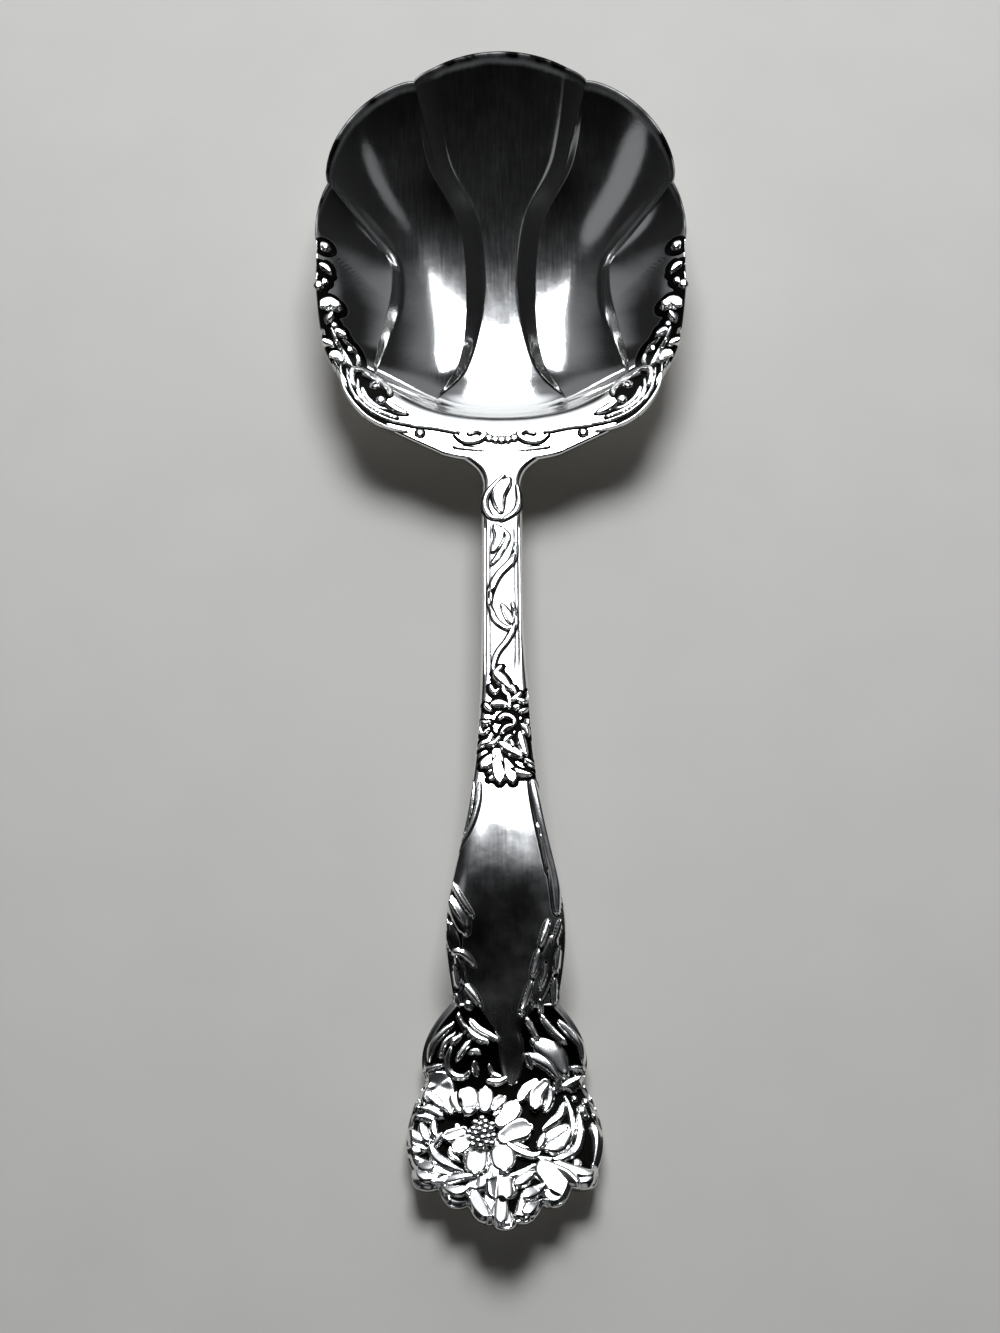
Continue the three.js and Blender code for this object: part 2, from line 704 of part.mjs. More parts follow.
// The collar: a knot of overlapping leaves across the handle where the stem meets the panel.
function leafCollar(seat) {
  const foot = archY + collarFromArch;
  const leaves = [
    [0, 0, -0.33, 0.62, 0.44, 0.06], [0, 0.05, 0.36, 0.6, 0.44, -0.06], [-0.08, 0.3, -0.5, 0.86, 0.41, 0.08],
    [0.08, 0.32, 0.5, 0.9, 0.41, -0.08], [0, 0.42, -0.22, 1, 0.41, 0.04], [0.04, 0.45, 0.23, 1, 0.41, -0.04],
  ];
  const made = leaves.map(([footX, footShare, tipX, tipShare, width, bend]) =>
    leaf({
      foot: v2(footX * collarWidth, foot - footShare * collarLength),
      tip: v2(tipX * collarWidth, foot - tipShare * collarLength),
      width: width * collarWidth,
      bend: bend * collarWidth,
      relief: collarRelief,
      heightAt: (x, y) => archTop(y),
      rows: 6,
    }),
  );
  const bossY = foot - 0.42 * collarLength;
  made.push(bead(v3(0.03 * collarWidth, bossY, archTop(bossY) + 0.47 * collarRelief), collarRelief, 1.3));
  return cutBy(joined(made), seat);
}

// The blossom: an outer whorl of petals, a cupped inner whorl and a boss of stamens.
const blossomAt = v2(-0.11 * terminalWidth, down(0.551));

function blossom(seat) {
  const heightAt = (x, y) => archTop(y) + 0.45 * petalThickness;
  const ring = (count, from, to, width, turn, cup, relief) => {
    const petals = [];
    for (let k = 0; k < count; k++) {
      const direction = v2(1, 0).rotateAround(v2(0, 0), (2 * Math.PI * (k + turn)) / count);
      petals.push(
        leaf({
          foot: blossomAt.clone().addScaledVector(direction, from),
          tip: blossomAt.clone().addScaledVector(direction, to),
          width,
          relief,
          cup,
          heightAt,
          fullness: 1.3,
          reach: 0.74,
          rows: 4,
        }),
      );
    }
    return petals;
  };
  const base = heightAt(blossomAt.x, blossomAt.y);
  const pieces = [
    ...ring(petalCount, 0.1 * blossomRadius, blossomRadius, 0.95 * blossomRadius, 0.25,
      0.1 * blossomHeight, petalThickness),
    ...ring(petalCount + 1, 0.1 * blossomRadius, 0.62 * blossomRadius, 0.55 * blossomRadius, 0.5,
      0.45 * blossomHeight, 1.3 * petalThickness),
    bead(v3(blossomAt.x, blossomAt.y, base + 0.3 * blossomHeight), 0.27 * blossomRadius),
  ];
  for (let k = 0; k < stamenCount; k++) {
    const angle = (2 * Math.PI * k) / stamenCount;
    const x = blossomAt.x + 0.2 * blossomRadius * Math.cos(angle);
    const y = blossomAt.y + 0.2 * blossomRadius * Math.sin(angle);
    pieces.push(bead(v3(x, y, base + 0.52 * blossomHeight), 0.075 * blossomRadius));
  }
  return cutBy(joined(pieces), seat);
}

// The bud spray: a half-open bud under a curled leaf, on a stalk that swirls round beside the blossom.
function budSpray(seat) {
  const heightAt = (x, y) => archTop(y) + 0.18 * budRelief;
  const outward = v2(1, 0).rotateAround(v2(0, 0), 0.36);
  const foot = blossomAt.clone().addScaledVector(outward, blossomRadius + budClearance);
  const sepal = (lean, width) =>
    leaf({ foot, tip: v2(foot.x + lean, foot.y + budLength), width, relief: budRelief, heightAt, rows: 5 });
  const knot = v2(foot.x + 0.8 * budWidth, foot.y + 0.07 * budLength);
  const curledLeaf = leaf({
    foot: knot,
    tip: v2(knot.x - 0.75 * sprayLeafLength, knot.y + 0.9 * sprayLeafLength),
    width: 0.6 * budWidth,
    bend: 0.3 * budWidth,
    relief: 0.76 * budRelief,
    heightAt,
  });
  const swirl = new THREE.SplineCurve([
    v2(foot.x, foot.y - 0.04 * budLength),
    v2(knot.x, knot.y),
    v2(knot.x + 0.39 * budWidth, foot.y - 0.7 * budLength),
    v2(knot.x + 0.05 * budWidth, foot.y - 1.35 * budLength),
    v2(foot.x + 0.2 * budWidth, foot.y - 1.61 * budLength),
  ]);
  const stalk = swirl.getPoints(14).map((p) => v3(p.x, p.y, heightAt(p.x, p.y) + 0.35 * budRelief));
  const innerLeaf = leaf({
    foot: v2(foot.x + 0.32 * budWidth, foot.y - 1.52 * budLength),
    tip: v2(knot.x - 0.05 * budWidth, foot.y - 0.57 * budLength),
    width: 0.5 * budWidth,
    relief: 0.65 * budRelief,
    heightAt,
    rows: 5,
  });
  const pieces = [
    sepal(-0.3 * budWidth, 0.6 * budWidth),
    sepal(0.3 * budWidth, 0.66 * budWidth),
    bead(v3(knot.x, knot.y, heightAt(knot.x, knot.y) + 0.3 * budRelief), 0.3 * budWidth),
    bar(stalk, (s) => stalkRadius * (1 - 0.3 * s)),
    curledLeaf,
    innerLeaf,
  ];
  return cutBy(joined(pieces), seat);
}

// The assembly

function silverPlate(roughness) {
  return new THREE.MeshStandardMaterial({ color: 0xc9c9c6, metalness: 1, roughness });
}

const spoon = new THREE.Group();

function addPiece(name, solid, roughness) {
  const mesh = new THREE.Mesh(geometryOf(solid), silverPlate(roughness));
  mesh.name = name;
  spoon.add(mesh);
}

const bowlSeat = bowlShell(solderGap);
const handleSeat = handleBody(solderGap);
const handle = standing(cutBy(handleBody().add(heelTongue()), bowlSeat));

addPiece("bowl", standing(bowlShell()), 0.08);
addPiece("handle", handle, 0.12);
addPiece("left_rim_mount", rimMount(-1, bowlSeat), 0.16);
addPiece("right_rim_mount", rimMount(1, bowlSeat), 0.16);
addPiece("shoulder_cartouche", shoulderCartouche(bowlSeat), 0.16);
addPiece("leaf_collar", leafCollar(handleSeat), 0.18);
addPiece("blossom", blossom(handleSeat), 0.18);
addPiece("bud_spray", budSpray(handleSeat), 0.18);

export default spoon;
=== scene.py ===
import math

import bmesh
import bpy
import numpy as np
from mathutils import Matrix, Vector


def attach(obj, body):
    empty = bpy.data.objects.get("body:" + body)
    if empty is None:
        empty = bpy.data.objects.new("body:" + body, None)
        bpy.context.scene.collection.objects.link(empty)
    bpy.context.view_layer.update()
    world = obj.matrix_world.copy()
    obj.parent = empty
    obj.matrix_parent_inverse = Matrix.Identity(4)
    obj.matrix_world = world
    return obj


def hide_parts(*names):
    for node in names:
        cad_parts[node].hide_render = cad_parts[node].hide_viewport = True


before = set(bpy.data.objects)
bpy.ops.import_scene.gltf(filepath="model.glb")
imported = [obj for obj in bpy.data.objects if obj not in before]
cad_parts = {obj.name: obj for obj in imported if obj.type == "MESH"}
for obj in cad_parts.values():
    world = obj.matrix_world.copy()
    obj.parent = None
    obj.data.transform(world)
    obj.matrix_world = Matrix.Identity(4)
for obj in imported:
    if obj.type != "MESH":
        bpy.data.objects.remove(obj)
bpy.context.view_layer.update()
scene = bpy.context.scene
print("frame loaded with", len(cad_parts), "solids")

# Everything below is worked out in millimetres and put into the mesh in metres.
millimetre = 0.001


# 0 below low, 1 above high, an S between them
def ease(x, low, high):
    t = np.clip((x - low) / (high - low), 0.0, 1.0)
    return t * t * (3.0 - 2.0 * t)


def blend(a, b, t):
    return a + (b - a) * t


# a bump of height 1 round a middle value
def bell(x, middle, width):
    return np.exp(-((x - middle) / width) ** 2)


# Catmull-Rom curve through the points, t from 0 to 1 in equal steps per point
def curveAt(points, t):
    p = np.asarray(points, float)
    last = len(p) - 1
    q = np.clip(t, 0.0, 1.0) * last
    k = np.minimum(q.astype(int), last - 1)
    w = (q - k)[..., None]
    before, here, there, after = p[np.maximum(k - 1, 0)], p[k], p[k + 1], p[np.minimum(k + 2, last)]
    m, n = 0.5 * (there - before), 0.5 * (after - here)
    return ((2 * here - 2 * there + m + n) * w - 3 * here + 3 * there - 2 * m - n) * w * w + m * w + here


# the same curve, t measured along its length
def evenAt(points, t):
    fine = np.linspace(0.0, 1.0, 400)
    steps = np.linalg.norm(np.diff(curveAt(points, fine), axis=0), axis=1)
    run = np.concatenate([[0.0], np.cumsum(steps)])
    return curveAt(points, np.interp(t * run[-1], run, fine))


def pointsOf(*parts):
    return np.stack(parts, axis=-1)


def unit(v):
    return v / np.maximum(np.linalg.norm(v, axis=-1, keepdims=True), 1e-9)


# slopes of a surface in x and in y
def slopes(ground, x, y, step=0.01):
    inX = (ground(x + step, y) - ground(x - step, y)) / (2 * step)
    inY = (ground(x, y + step) - ground(x, y - step)) / (2 * step)
    return inX, inY


# A closed skin over a top grid and back under a bottom grid, of which every thin-th column is used. The
# side edges swell outwards by a set amount, and both end rows fold shut on the middle line.
def skin(top, bottom, swell=0.0, recess=None, thin=1):
    middle = 0.5 * (top + bottom)
    right = middle[:, -1] + swell * unit(middle[:, -1] - middle[:, -2])
    left = middle[:, 0] + swell * unit(middle[:, 0] - middle[:, 1])
    rings = np.concatenate([top, right[:, None], bottom[:, ::-thin], left[:, None]], axis=1)
    first = middle[0] + swell * unit(middle[0] - middle[1])
    last = middle[-1] + swell * unit(middle[-1] - middle[-2])
    ends = [np.concatenate([line, line[-1:], line[::-thin], line[:1]])[None] for line in (first, last)]
    points = np.concatenate([ends[0], rings, ends[1]])
    if recess is None:
        return points, np.zeros(points.shape[:2])
    under = np.zeros_like(recess[:, ::thin])
    ringRecess = np.concatenate([recess, recess[:, -1:], under, recess[:, :1]], axis=1)
    return points, np.concatenate([ringRecess[:1], ringRecess, ringRecess[-1:]])


# how marks are struck: each one's own tilt in x and y, the rise of its near side and the most it may tip
# back, the height of a bead as a share of its width, and the depth of a joint that is black and bright
strike = dict(ownX=0.06, ownY=0.09, nearSide=0.05, tipBack=-0.12, beadHeight=0.32, joint=(0.04, 0.2))

# half width of a mark along its line, its crown across it, and how much of the lean it takes if not all
outlineOf = dict(
    rail=lambda s: 1 - 0.6 * (2 * np.abs(s - 0.5)) ** 3,
    leaf=lambda s: np.sin(math.pi * (0.06 + 0.9 * s ** 0.8)) ** 0.7,
    petal=lambda s: (blend(0.72, 1.0, ease(s, 0.0, 0.5))
                     * np.sqrt(np.maximum(0.0, 1 - (np.maximum(0.0, s - 0.64) / 0.38) ** 2))),
    fold=lambda s: np.sin(math.pi * (0.1 + 0.82 * s)) ** 0.5,
    bead=lambda s: 1 + 0 * s)
crownOf = dict(
    rail=lambda t: (1 - t ** 6) ** 0.6,
    leaf=lambda t: (1 - t ** 4) ** 0.6,
    petal=lambda t: (0.93 + 0.12 * t * t) * (1 - t ** 8),
    fold=lambda t: (1 - t ** 3) ** 0.6,
    bead=lambda t: (1 - t ** 4) ** 0.6)
leanOf = dict(fold=0.85)


# Struck relief: each mark is a swelling along its own line with a flat crown, as high as its two end
# heights say. It is levelled against the slope of its ground and leans a little in its own way, near side
# up, like leaves laid over each other. The highest mark shows. Returned with it are the height of the
# mark below, to find where two marks meet, and the distance to the nearest mark's edge.
def struck(x, y, marks, ground):
    shape, x, y = x.shape, x.ravel(), y.ravel()
    high, below, near = np.zeros(x.size), np.zeros(x.size), np.full(x.size, 9.0)
    for form, spine, width, first, last in marks:
        line = curveAt(spine, np.linspace(0.0, 1.0, 6 * len(spine)))
        low, top = line.min(axis=0) - width - 1, line.max(axis=0) + width + 1
        close = np.flatnonzero((x > low[0]) & (x < top[0]) & (y > low[1]) & (y < top[1]))
        step = np.diff(line, axis=0)
        offset = pointsOf(x[close], y[close])[:, None] - line[None, :-1]
        along = np.clip((offset * step).sum(axis=-1) / (step * step).sum(axis=-1), 0.0, 1.0)
        miss = np.linalg.norm(offset - along[..., None] * step, axis=-1)
        nearest = miss.argmin(axis=1)
        pick = np.arange(len(close)), nearest
        s = (nearest + along[pick]) / len(step)
        half = 0.5 * width * outlineOf[form](s)
        t = np.minimum(miss[pick] / np.maximum(half, 1e-6), 1.0)
        tiltX, tiltY = slopes(ground, line[:, 0], line[:, 1])
        at = np.linspace(0.0, 1.0, len(line))
        leanX = strike["ownX"] * math.sin(5.0 * spine[0][0]) + np.interp(s, at, tiltX)
        leanY = strike["nearSide"] + strike["ownY"] * math.sin(7.0 * spine[0][1]) + np.interp(s, at, tiltY)
        lean = leanX * (np.interp(s, at, line[:, 0]) - x[close])
        lean += np.maximum(strike["tipBack"], leanY) * (np.interp(s, at, line[:, 1]) - y[close])
        rise = blend(first, last, s) * crownOf[form](t) + leanOf.get(form, 1.0) * lean * (1 - t ** 6)
        rise = np.where(t < 1, np.maximum(rise, 0.0), 0.0)
        below[close] = np.maximum(below[close], np.minimum(high[close], rise))
        high[close] = np.maximum(high[close], rise)
        near[close] = np.minimum(near[close], miss[pick] - half)
    return high.reshape(shape), below.reshape(shape), near.reshape(shape)


# Marks of an ornament, in tenths of a millimetre: a rail, fold, leaf or petal is its width, its heights at
# the start and the end, then x and y of each point on its line; a bead, a very short rail, is x, y, width.
def marksOf(settings):
    marks = []
    for form in ("rail", "fold", "leaf", "petal"):
        for mark in settings.get(form, ()):
            width, first, last, *line = np.array(mark) / 10
            marks.append((form, np.reshape(line, (-1, 2)), width, first, last))
    for mark in settings.get("bead", ()):
        x, y, width = np.array(mark) / 10
        rise = strike["beadHeight"] * width
        marks.append(("bead", ((x, y + 0.1), (x, y - 0.1)), width, rise, rise))
    return marks


# sulphide on struck relief: full on bare ground, and a line where one mark meets another
def sootOf(high, below):
    return 1 - ease(high - below, *strike["joint"])


# sulphide on silver beside marks: full at a mark's edge, and as little as given at a distance
def sootBeside(high, below, near, reach, least=0.0):
    return np.where(high > 0, sootOf(high, below), blend(1.0, least, ease(near, 0.0, reach)))


# A sheet of relief over a grid of plan points: on top the ground plus the marks, underneath the ground
# less a depth. Black metal stands a little way up round the marks, and further out it sinks below.
def reliefSheet(x, y, ground, marks, black, stand, depth):
    base = ground(x, y)
    high, below, near = struck(x, y, marks, ground)
    lift = base + np.where(high > 0, high, blend(stand, -0.3, ease(near, black, black + 0.2)))
    top = pointsOf(x, y, lift)
    bottom = pointsOf(x, y, np.maximum(0.0, np.minimum(base - depth, lift - 0.2)))
    return skin(top, bottom, recess=sootOf(high, below))


def addObject(name, data):
    added = bpy.data.objects.new(name, data)
    scene.collection.objects.link(added)
    return added


# Lofts are rows of rings, each ring closed on itself. They become one mesh: quads between neighbouring
# rings, then equal points merge, which closes every seam and pole, and the faces are turned outwards.
def makePiece(name, lofts, finish, node):
    vertices, faces, recess, start = [], [], [], 0
    for points, depth in lofts:
        rows, ring = points.shape[:2]
        i = np.arange(rows - 1)[:, None]
        j = np.arange(ring)[None, :]
        k = (j + 1) % ring
        quad = np.stack([i * ring + j, i * ring + k, (i + 1) * ring + k, (i + 1) * ring + j], axis=-1)
        faces.append(start + quad.reshape(-1, 4))
        vertices.append(points.reshape(-1, 3))
        recess.append(depth.reshape(-1))
        start += rows * ring
    mesh = bpy.data.meshes.new(name)
    mesh.from_pydata((np.concatenate(vertices) * millimetre).tolist(), [], np.concatenate(faces).tolist())
    layer = mesh.attributes.new("recess", "FLOAT", "POINT")
    layer.data.foreach_set("value", np.concatenate(recess).astype(np.float32))
    work = bmesh.new()
    work.from_mesh(mesh)
    bmesh.ops.remove_doubles(work, verts=work.verts, dist=2e-7)
    bmesh.ops.dissolve_degenerate(work, edges=work.edges, dist=1e-8)
    bmesh.ops.recalc_face_normals(work, faces=work.faces)
    work.to_mesh(mesh)
    work.free()
    mesh.polygons.foreach_set("use_smooth", np.ones(len(mesh.polygons), bool))
    mesh.update()
    mesh.materials.append(finish)
    piece = addObject(name, mesh)
    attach(piece, "root")
    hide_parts(node)
    print("made", name, "with", len(mesh.polygons), "faces")


def linear(hexColour):
    parts = [int(hexColour[i:i + 2], 16) / 255.0 for i in (1, 3, 5)]
    return tuple(c / 12.92 if c <= 0.04045 else ((c + 0.055) / 1.055) ** 2.4 for c in parts) + (1.0,)


# adds one shader node with its settings; an input is a value, an output, or a node for its first output
def put(tree, kind, inputs=None, **settings):
    node = tree.nodes.new("ShaderNode" + kind)
    for key, value in settings.items():
        setattr(node, key, value)
    for key, value in (inputs or {}).items():
        if isinstance(value, bpy.types.Node):
            value = value.outputs[0]
        if isinstance(value, bpy.types.NodeSocket):
            tree.links.new(value, node.inputs[key])
        else:
            node.inputs[key].default_value = value
    return node


def blankMaterial(name):
    material = bpy.data.materials.new(name)
    material.use_nodes = True
    material.node_tree.nodes.clear()
    return material


def mixColours(tree, share, first, second):
    mix = put(tree, "Mix", {"Factor": share}, data_type="RGBA")
    ends = [socket for socket in mix.inputs if socket.type == "RGBA"]
    ends[0].default_value = linear(first)
    ends[1].default_value = linear(second)
    return [socket for socket in mix.outputs if socket.type == "RGBA"][0]


# colours, the sizes of clouds, grit and wipe marks in millimetres, and where sulphide starts and is full
silver = dict(bright="#F2F2F0", black="#060605", cloud=11.0, grit=0.5, wipe=(0.35, 9.0, 2.0), wipeTurn=0.5,
              wipeHaze=0.06, sootStart=0.25, sootFull=0.8, sootHaze=0.3)


# Silver plate, buffed on a wheel: a mirror, softened by faint clouds and a haze of fine wipe marks. It
# keeps black sulphide where the wheel and the cloth don't reach, which draws the lines of the relief.
# The same dark also paints a shade line where the bowl's wall meets its flange, and darkens the tip's rim.
def silverFinish(name, polish, haze):
    material = blankMaterial(name)
    tree = material.node_tree
    place = put(tree, "TexCoord").outputs["Object"]
    cloud = put(tree, "TexNoise", {"Vector": place, "Scale": 1 / (silver["cloud"] * millimetre),
                                   "Detail": 5.0, "Roughness": 0.6})
    stretch = tuple(1 / (size * millimetre) for size in silver["wipe"])
    turned = put(tree, "Mapping", {"Vector": place, "Rotation": (0.0, 0.0, silver["wipeTurn"]),
                                   "Scale": stretch})
    wipe = put(tree, "TexNoise", {"Vector": turned, "Scale": 1.0, "Detail": 3.0})
    grit = put(tree, "TexNoise", {"Vector": place, "Scale": 1 / (silver["grit"] * millimetre),
                                  "Detail": 2.0})
    depth = put(tree, "Attribute", attribute_name="recess").outputs["Fac"]
    # sulphide: full in the recesses, broken up by the cloud at its edges
    uneven = put(tree, "Math", {0: cloud, 1: 0.5}, operation="SUBTRACT")
    soot = put(tree, "Math", {0: uneven, 1: 0.5, 2: depth}, operation="MULTIPLY_ADD")
    dark = put(tree, "MapRange", {"Value": soot, "From Min": silver["sootStart"],
                                  "From Max": silver["sootFull"]})
    hazy = put(tree, "MapRange", {"Value": cloud, "From Min": 0.3, "From Max": 0.75, "To Min": polish,
                                  "To Max": polish + haze})
    wiped = put(tree, "Math", {0: wipe, 1: silver["wipeHaze"], 2: hazy}, operation="MULTIPLY_ADD")
    rough = put(tree, "Math", {0: dark, 1: silver["sootHaze"], 2: wiped}, operation="MULTIPLY_ADD")
    low = put(tree, "Bump", {"Height": cloud, "Strength": 0.12, "Distance": 0.25 * millimetre})
    fine = put(tree, "Bump", {"Height": grit, "Strength": 0.05, "Distance": 0.02 * millimetre,
                              "Normal": low})
    colour = mixColours(tree, dark, silver["bright"], silver["black"])
    metal = put(tree, "BsdfPrincipled", {"Base Color": colour, "Metallic": 1.0, "Roughness": rough,
                                         "Normal": fine})
    put(tree, "OutputMaterial", {"Surface": metal})
    return material


# bowl: a clear dark mirror; stem and panel: a mirror with cloudy spots from handling;
# struck and cast ornament: a softer gleam that keeps its crowns white
bowlSilver = silverFinish("pressedSilverBuffed", 0.05, 0.05)
handleSilver = silverFinish("struckSilverBuffed", 0.06, 0.18)
struckSilver = silverFinish("struckSilverSatin", 0.12, 0.05)
mountSilver = silverFinish("castSilverPolished", 0.1, 0.05)
foliageSilver = silverFinish("castSilverSatin", 0.12, 0.05)
print("finishes ready")

# the spoon's lines, in the same sizes as the solids
spoon = dict(length=225.3, archHeight=14.0, archFromEnd=70.2, lowFromEnd=24.0, lowTop=2.9, endRise=6.0)
tipY = spoon["length"] / 2
endY = -tipY

bowl = dict(length=87.0, width=67.6, depth=13.2, wall=1.1, rimHeight=14.0, rimRise=7.0, deepest=25.0,
            flange=4.6, rootFlange=9.4, flangeFall=1.4, rootSteep=0.7, lip=0.3, waist=13.0,
            waistFromRoot=40.0, tipWidth=32.6, tipRise=7.5, shoulderRise=5.4, sideRise=1.1, corner=0.9,
            fullness=0.75, rootSag=1.9, cornerFromRoot=7.8, sideFromRoot=15.6, mountLength=45.0,
            tipLobe=14.0, shoulderNotch=29.6, ovalPower=(2.0, 2.6), lobeStart=(2.0, 22.0),
            lobeShare=(0.45, 0.95), arcSides=(-10.0, 2.0), arcWidth=0.85, arcBend=(0.06, 0.5),
            groove=0.35, fluteHeight=(1.5, 0.9), fluteFace=(4.0, 3.0), fluteStart=0.19, fluteRun=0.33,
            fluteBack=0.85, fluteFade=0.35, fluteFoot=0.02, tipThinning=0.7, cornerStart=(19.5, 22.0),
            lipDarkening=0.77, draw=0.995, rows=210, perStrip=48)
rootY = tipY - bowl["length"]
deepestY = rootY + bowl["deepest"]
halfBowl = bowl["width"] / 2


# the rim climbs evenly from the root to the tip
def rimHeight(y):
    return bowl["rimHeight"] + bowl["rimRise"] * (y - deepestY) / bowl["length"]


# y at a share of the way from the root to the waist
def toWaist(share):
    return rootY + share * bowl["waistFromRoot"]


# y at a share of the rim between the border's corner and its far end
def alongMount(share):
    return rootY + blend(bowl["sideFromRoot"], bowl["mountLength"], share)


innerCrease = ((0.33 * halfBowl, rootY + bowl["rootSag"]), (0.37 * halfBowl, toWaist(0.42)),
               (0.6 * bowl["waist"], toWaist(0.68)), (0.5 * bowl["waist"], toWaist(1.0)),
               (0.6 * bowl["waist"], toWaist(1.36)),
               (0.42 * bowl["tipWidth"], tipY - bowl["tipRise"] - bowl["tipLobe"]),
               (0.5 * bowl["tipWidth"], tipY - bowl["tipRise"]))
outerCrease = ((0.66 * halfBowl, rootY + bowl["cornerFromRoot"]), (0.69 * halfBowl, toWaist(0.53)),
               (0.6 * halfBowl, toWaist(1.0)), (0.66 * halfBowl, toWaist(1.2)),
               (0.945 * halfBowl, tipY - bowl["shoulderNotch"]))
rimEdge = ((0.83 * halfBowl, alongMount(0.0)), (0.94 * halfBowl, alongMount(0.27)),
           (0.99 * halfBowl, alongMount(0.63)), (halfBowl, alongMount(1.0)))


# Bowl in plan: u is 0 on the middle, 1 and 2 on the creases and 3 on the rim, v runs from root to tip.
# Between two guide lines the edge bulges as a lobe.
def bowlPlan(u, v):
    u, v = np.broadcast_arrays(u, v)
    inner, outer, edge = evenAt(innerCrease, v), evenAt(outerCrease, v), evenAt(rimEdge, v)
    across = np.abs(u)
    strip = np.minimum(2.0, np.floor(across))
    t = across - strip
    sag = blend(-bowl["rootSag"] * (1 - v) ** 3, bowl["tipRise"], v ** 3)
    midX = t * inner[..., 0]
    midY = inner[..., 1] + np.maximum(0.0, 1 - t * t) ** bowl["fullness"] * sag
    first = (strip == 1)[..., None]
    start, stop = np.where(first, inner, outer), np.where(first, outer, edge)
    outward = unit(pointsOf(start[..., 1] - stop[..., 1], stop[..., 0] - start[..., 0]))
    farRise = np.where(strip == 1, bowl["shoulderRise"], bowl["sideRise"])
    rootRise = np.where(strip == 1, 0.0, bowl["corner"])
    bulge = np.maximum(0.0, 4 * t * (1 - t)) ** bowl["fullness"]
    bulge = bulge * (farRise * v ** 4 - rootRise * (1 - v) ** 4)
    side = start + (stop - start) * t[..., None] + outward * bulge[..., None]
    x = np.where(strip == 0, midX, side[..., 0]) * np.where(u < 0, -1.0, 1.0)
    return x, np.where(strip == 0, midY, side[..., 1])


# distance from the deepest point to the scalloped rim, by direction
def rimReach():
    u, v = np.linspace(-3.0, 3.0, 901), np.linspace(0.0, 1.0, 300)
    sides = bowlPlan(u, 1.0), bowlPlan(3.0, v), bowlPlan(u, 0.0), bowlPlan(-3.0, v)
    x, y = np.concatenate(sides, axis=1)
    return np.arctan2(y - deepestY, x), np.hypot(x, y - deepestY)


rimTurn, rimFar = rimReach()


# Dish: a paraboloid from the deepest point out to the rim. Towards the stem it is an ellipse that stops
# at a sloping flange; towards the tip it spreads from a full oval into the lobes of the rim.
# Returned with the height is an arc, 1 where the wall meets the flange; it cuts a groove and places a painted
# shade line.
def dish(x, y):
    dy = y - deepestY
    power = np.where(dy < 0, *bowl["ovalPower"])
    reachY = np.where(dy < 0, bowl["deepest"], bowl["length"] - bowl["deepest"])
    oval = np.maximum(1e-6, (np.abs(x / halfBowl) ** power + np.abs(dy / reachY) ** power) ** (1 / power))
    run = np.maximum(np.hypot(x, dy), 1e-6)
    lobed = run / np.interp(np.arctan2(dy, x), rimTurn, rimFar, period=2 * math.pi)
    share = blend(oval, lobed, ease(dy, *bowl["lobeStart"]) * ease(lobed, *bowl["lobeShare"]))
    reach = run / share
    near = blend(bowl["flange"], bowl["rootFlange"], ease(-dy / bowl["deepest"], 0.05, 0.45))
    far = ease(dy / bowl["length"], 0.1, 0.3)
    flange = blend(near, bowl["lip"], far) / reach
    fall = blend(bowl["flangeFall"], 0.0, far)
    onFlange = (share - 1 + flange) / flange
    rim = rimHeight(y)
    border = rim - fall * (1 - np.clip(onFlange, -1.0, 1.0))
    steeper = 2 + bowl["rootSteep"] * ease(-dy / run, 0.0, 0.8)
    hollow = rim - fall - (bowl["depth"] - fall) * (1 - (share / (1 - flange)) ** steeper)
    aside = ease(dy, *bowl["arcSides"])
    arc = bell(onFlange * flange * reach, 0.0, bowl["arcWidth"]) * (1 - aside)
    bend = blend(*bowl["arcBend"], aside) * (1 - far)
    lower = 0.5 * (border + hollow - np.sqrt((border - hollow) ** 2 + bend))
    return lower - bowl["groove"] * arc, arc


def dishHeight(x, y):
    return dish(x, y)[0]


# Flutes: each crease is a crest with a steep face towards the middle that starts as a point near the
# flange and widens evenly, and behind the crest a hollow falls away to the next one.
def fluteRelief(u, v):
    inner, outer = evenAt(innerCrease, v), evenAt(outerCrease, v)
    wide = (inner[..., 0], np.linalg.norm(outer - inner, axis=-1))
    across = np.abs(u)
    start, run, foot = bowl["fluteStart"], bowl["fluteRun"], bowl["fluteFoot"]
    widen = np.clip((v - start) / run, foot, 1.0)
    swell = ease(v, start, start + 0.5 * run) * (1 - bowl["fluteFade"] * ease(v, 0.75, 1.0))
    relief = np.zeros(u.shape)
    for crease, height in enumerate(bowl["fluteHeight"]):
        off = across - crease - 1
        face = widen * bowl["fluteFace"][crease] / wide[crease]
        climb = np.clip(1 + off / face, 0.0, 1.0)
        climb = (np.sqrt(climb ** 2 + foot) - math.sqrt(foot)) / (math.sqrt(1 + foot) - math.sqrt(foot))
        hollow = np.clip(1 - off / bowl["fluteBack"], 0.0, 1.0) ** 2
        relief = np.maximum(relief, height * np.where(off < 0, climb, hollow))
    return swell * relief


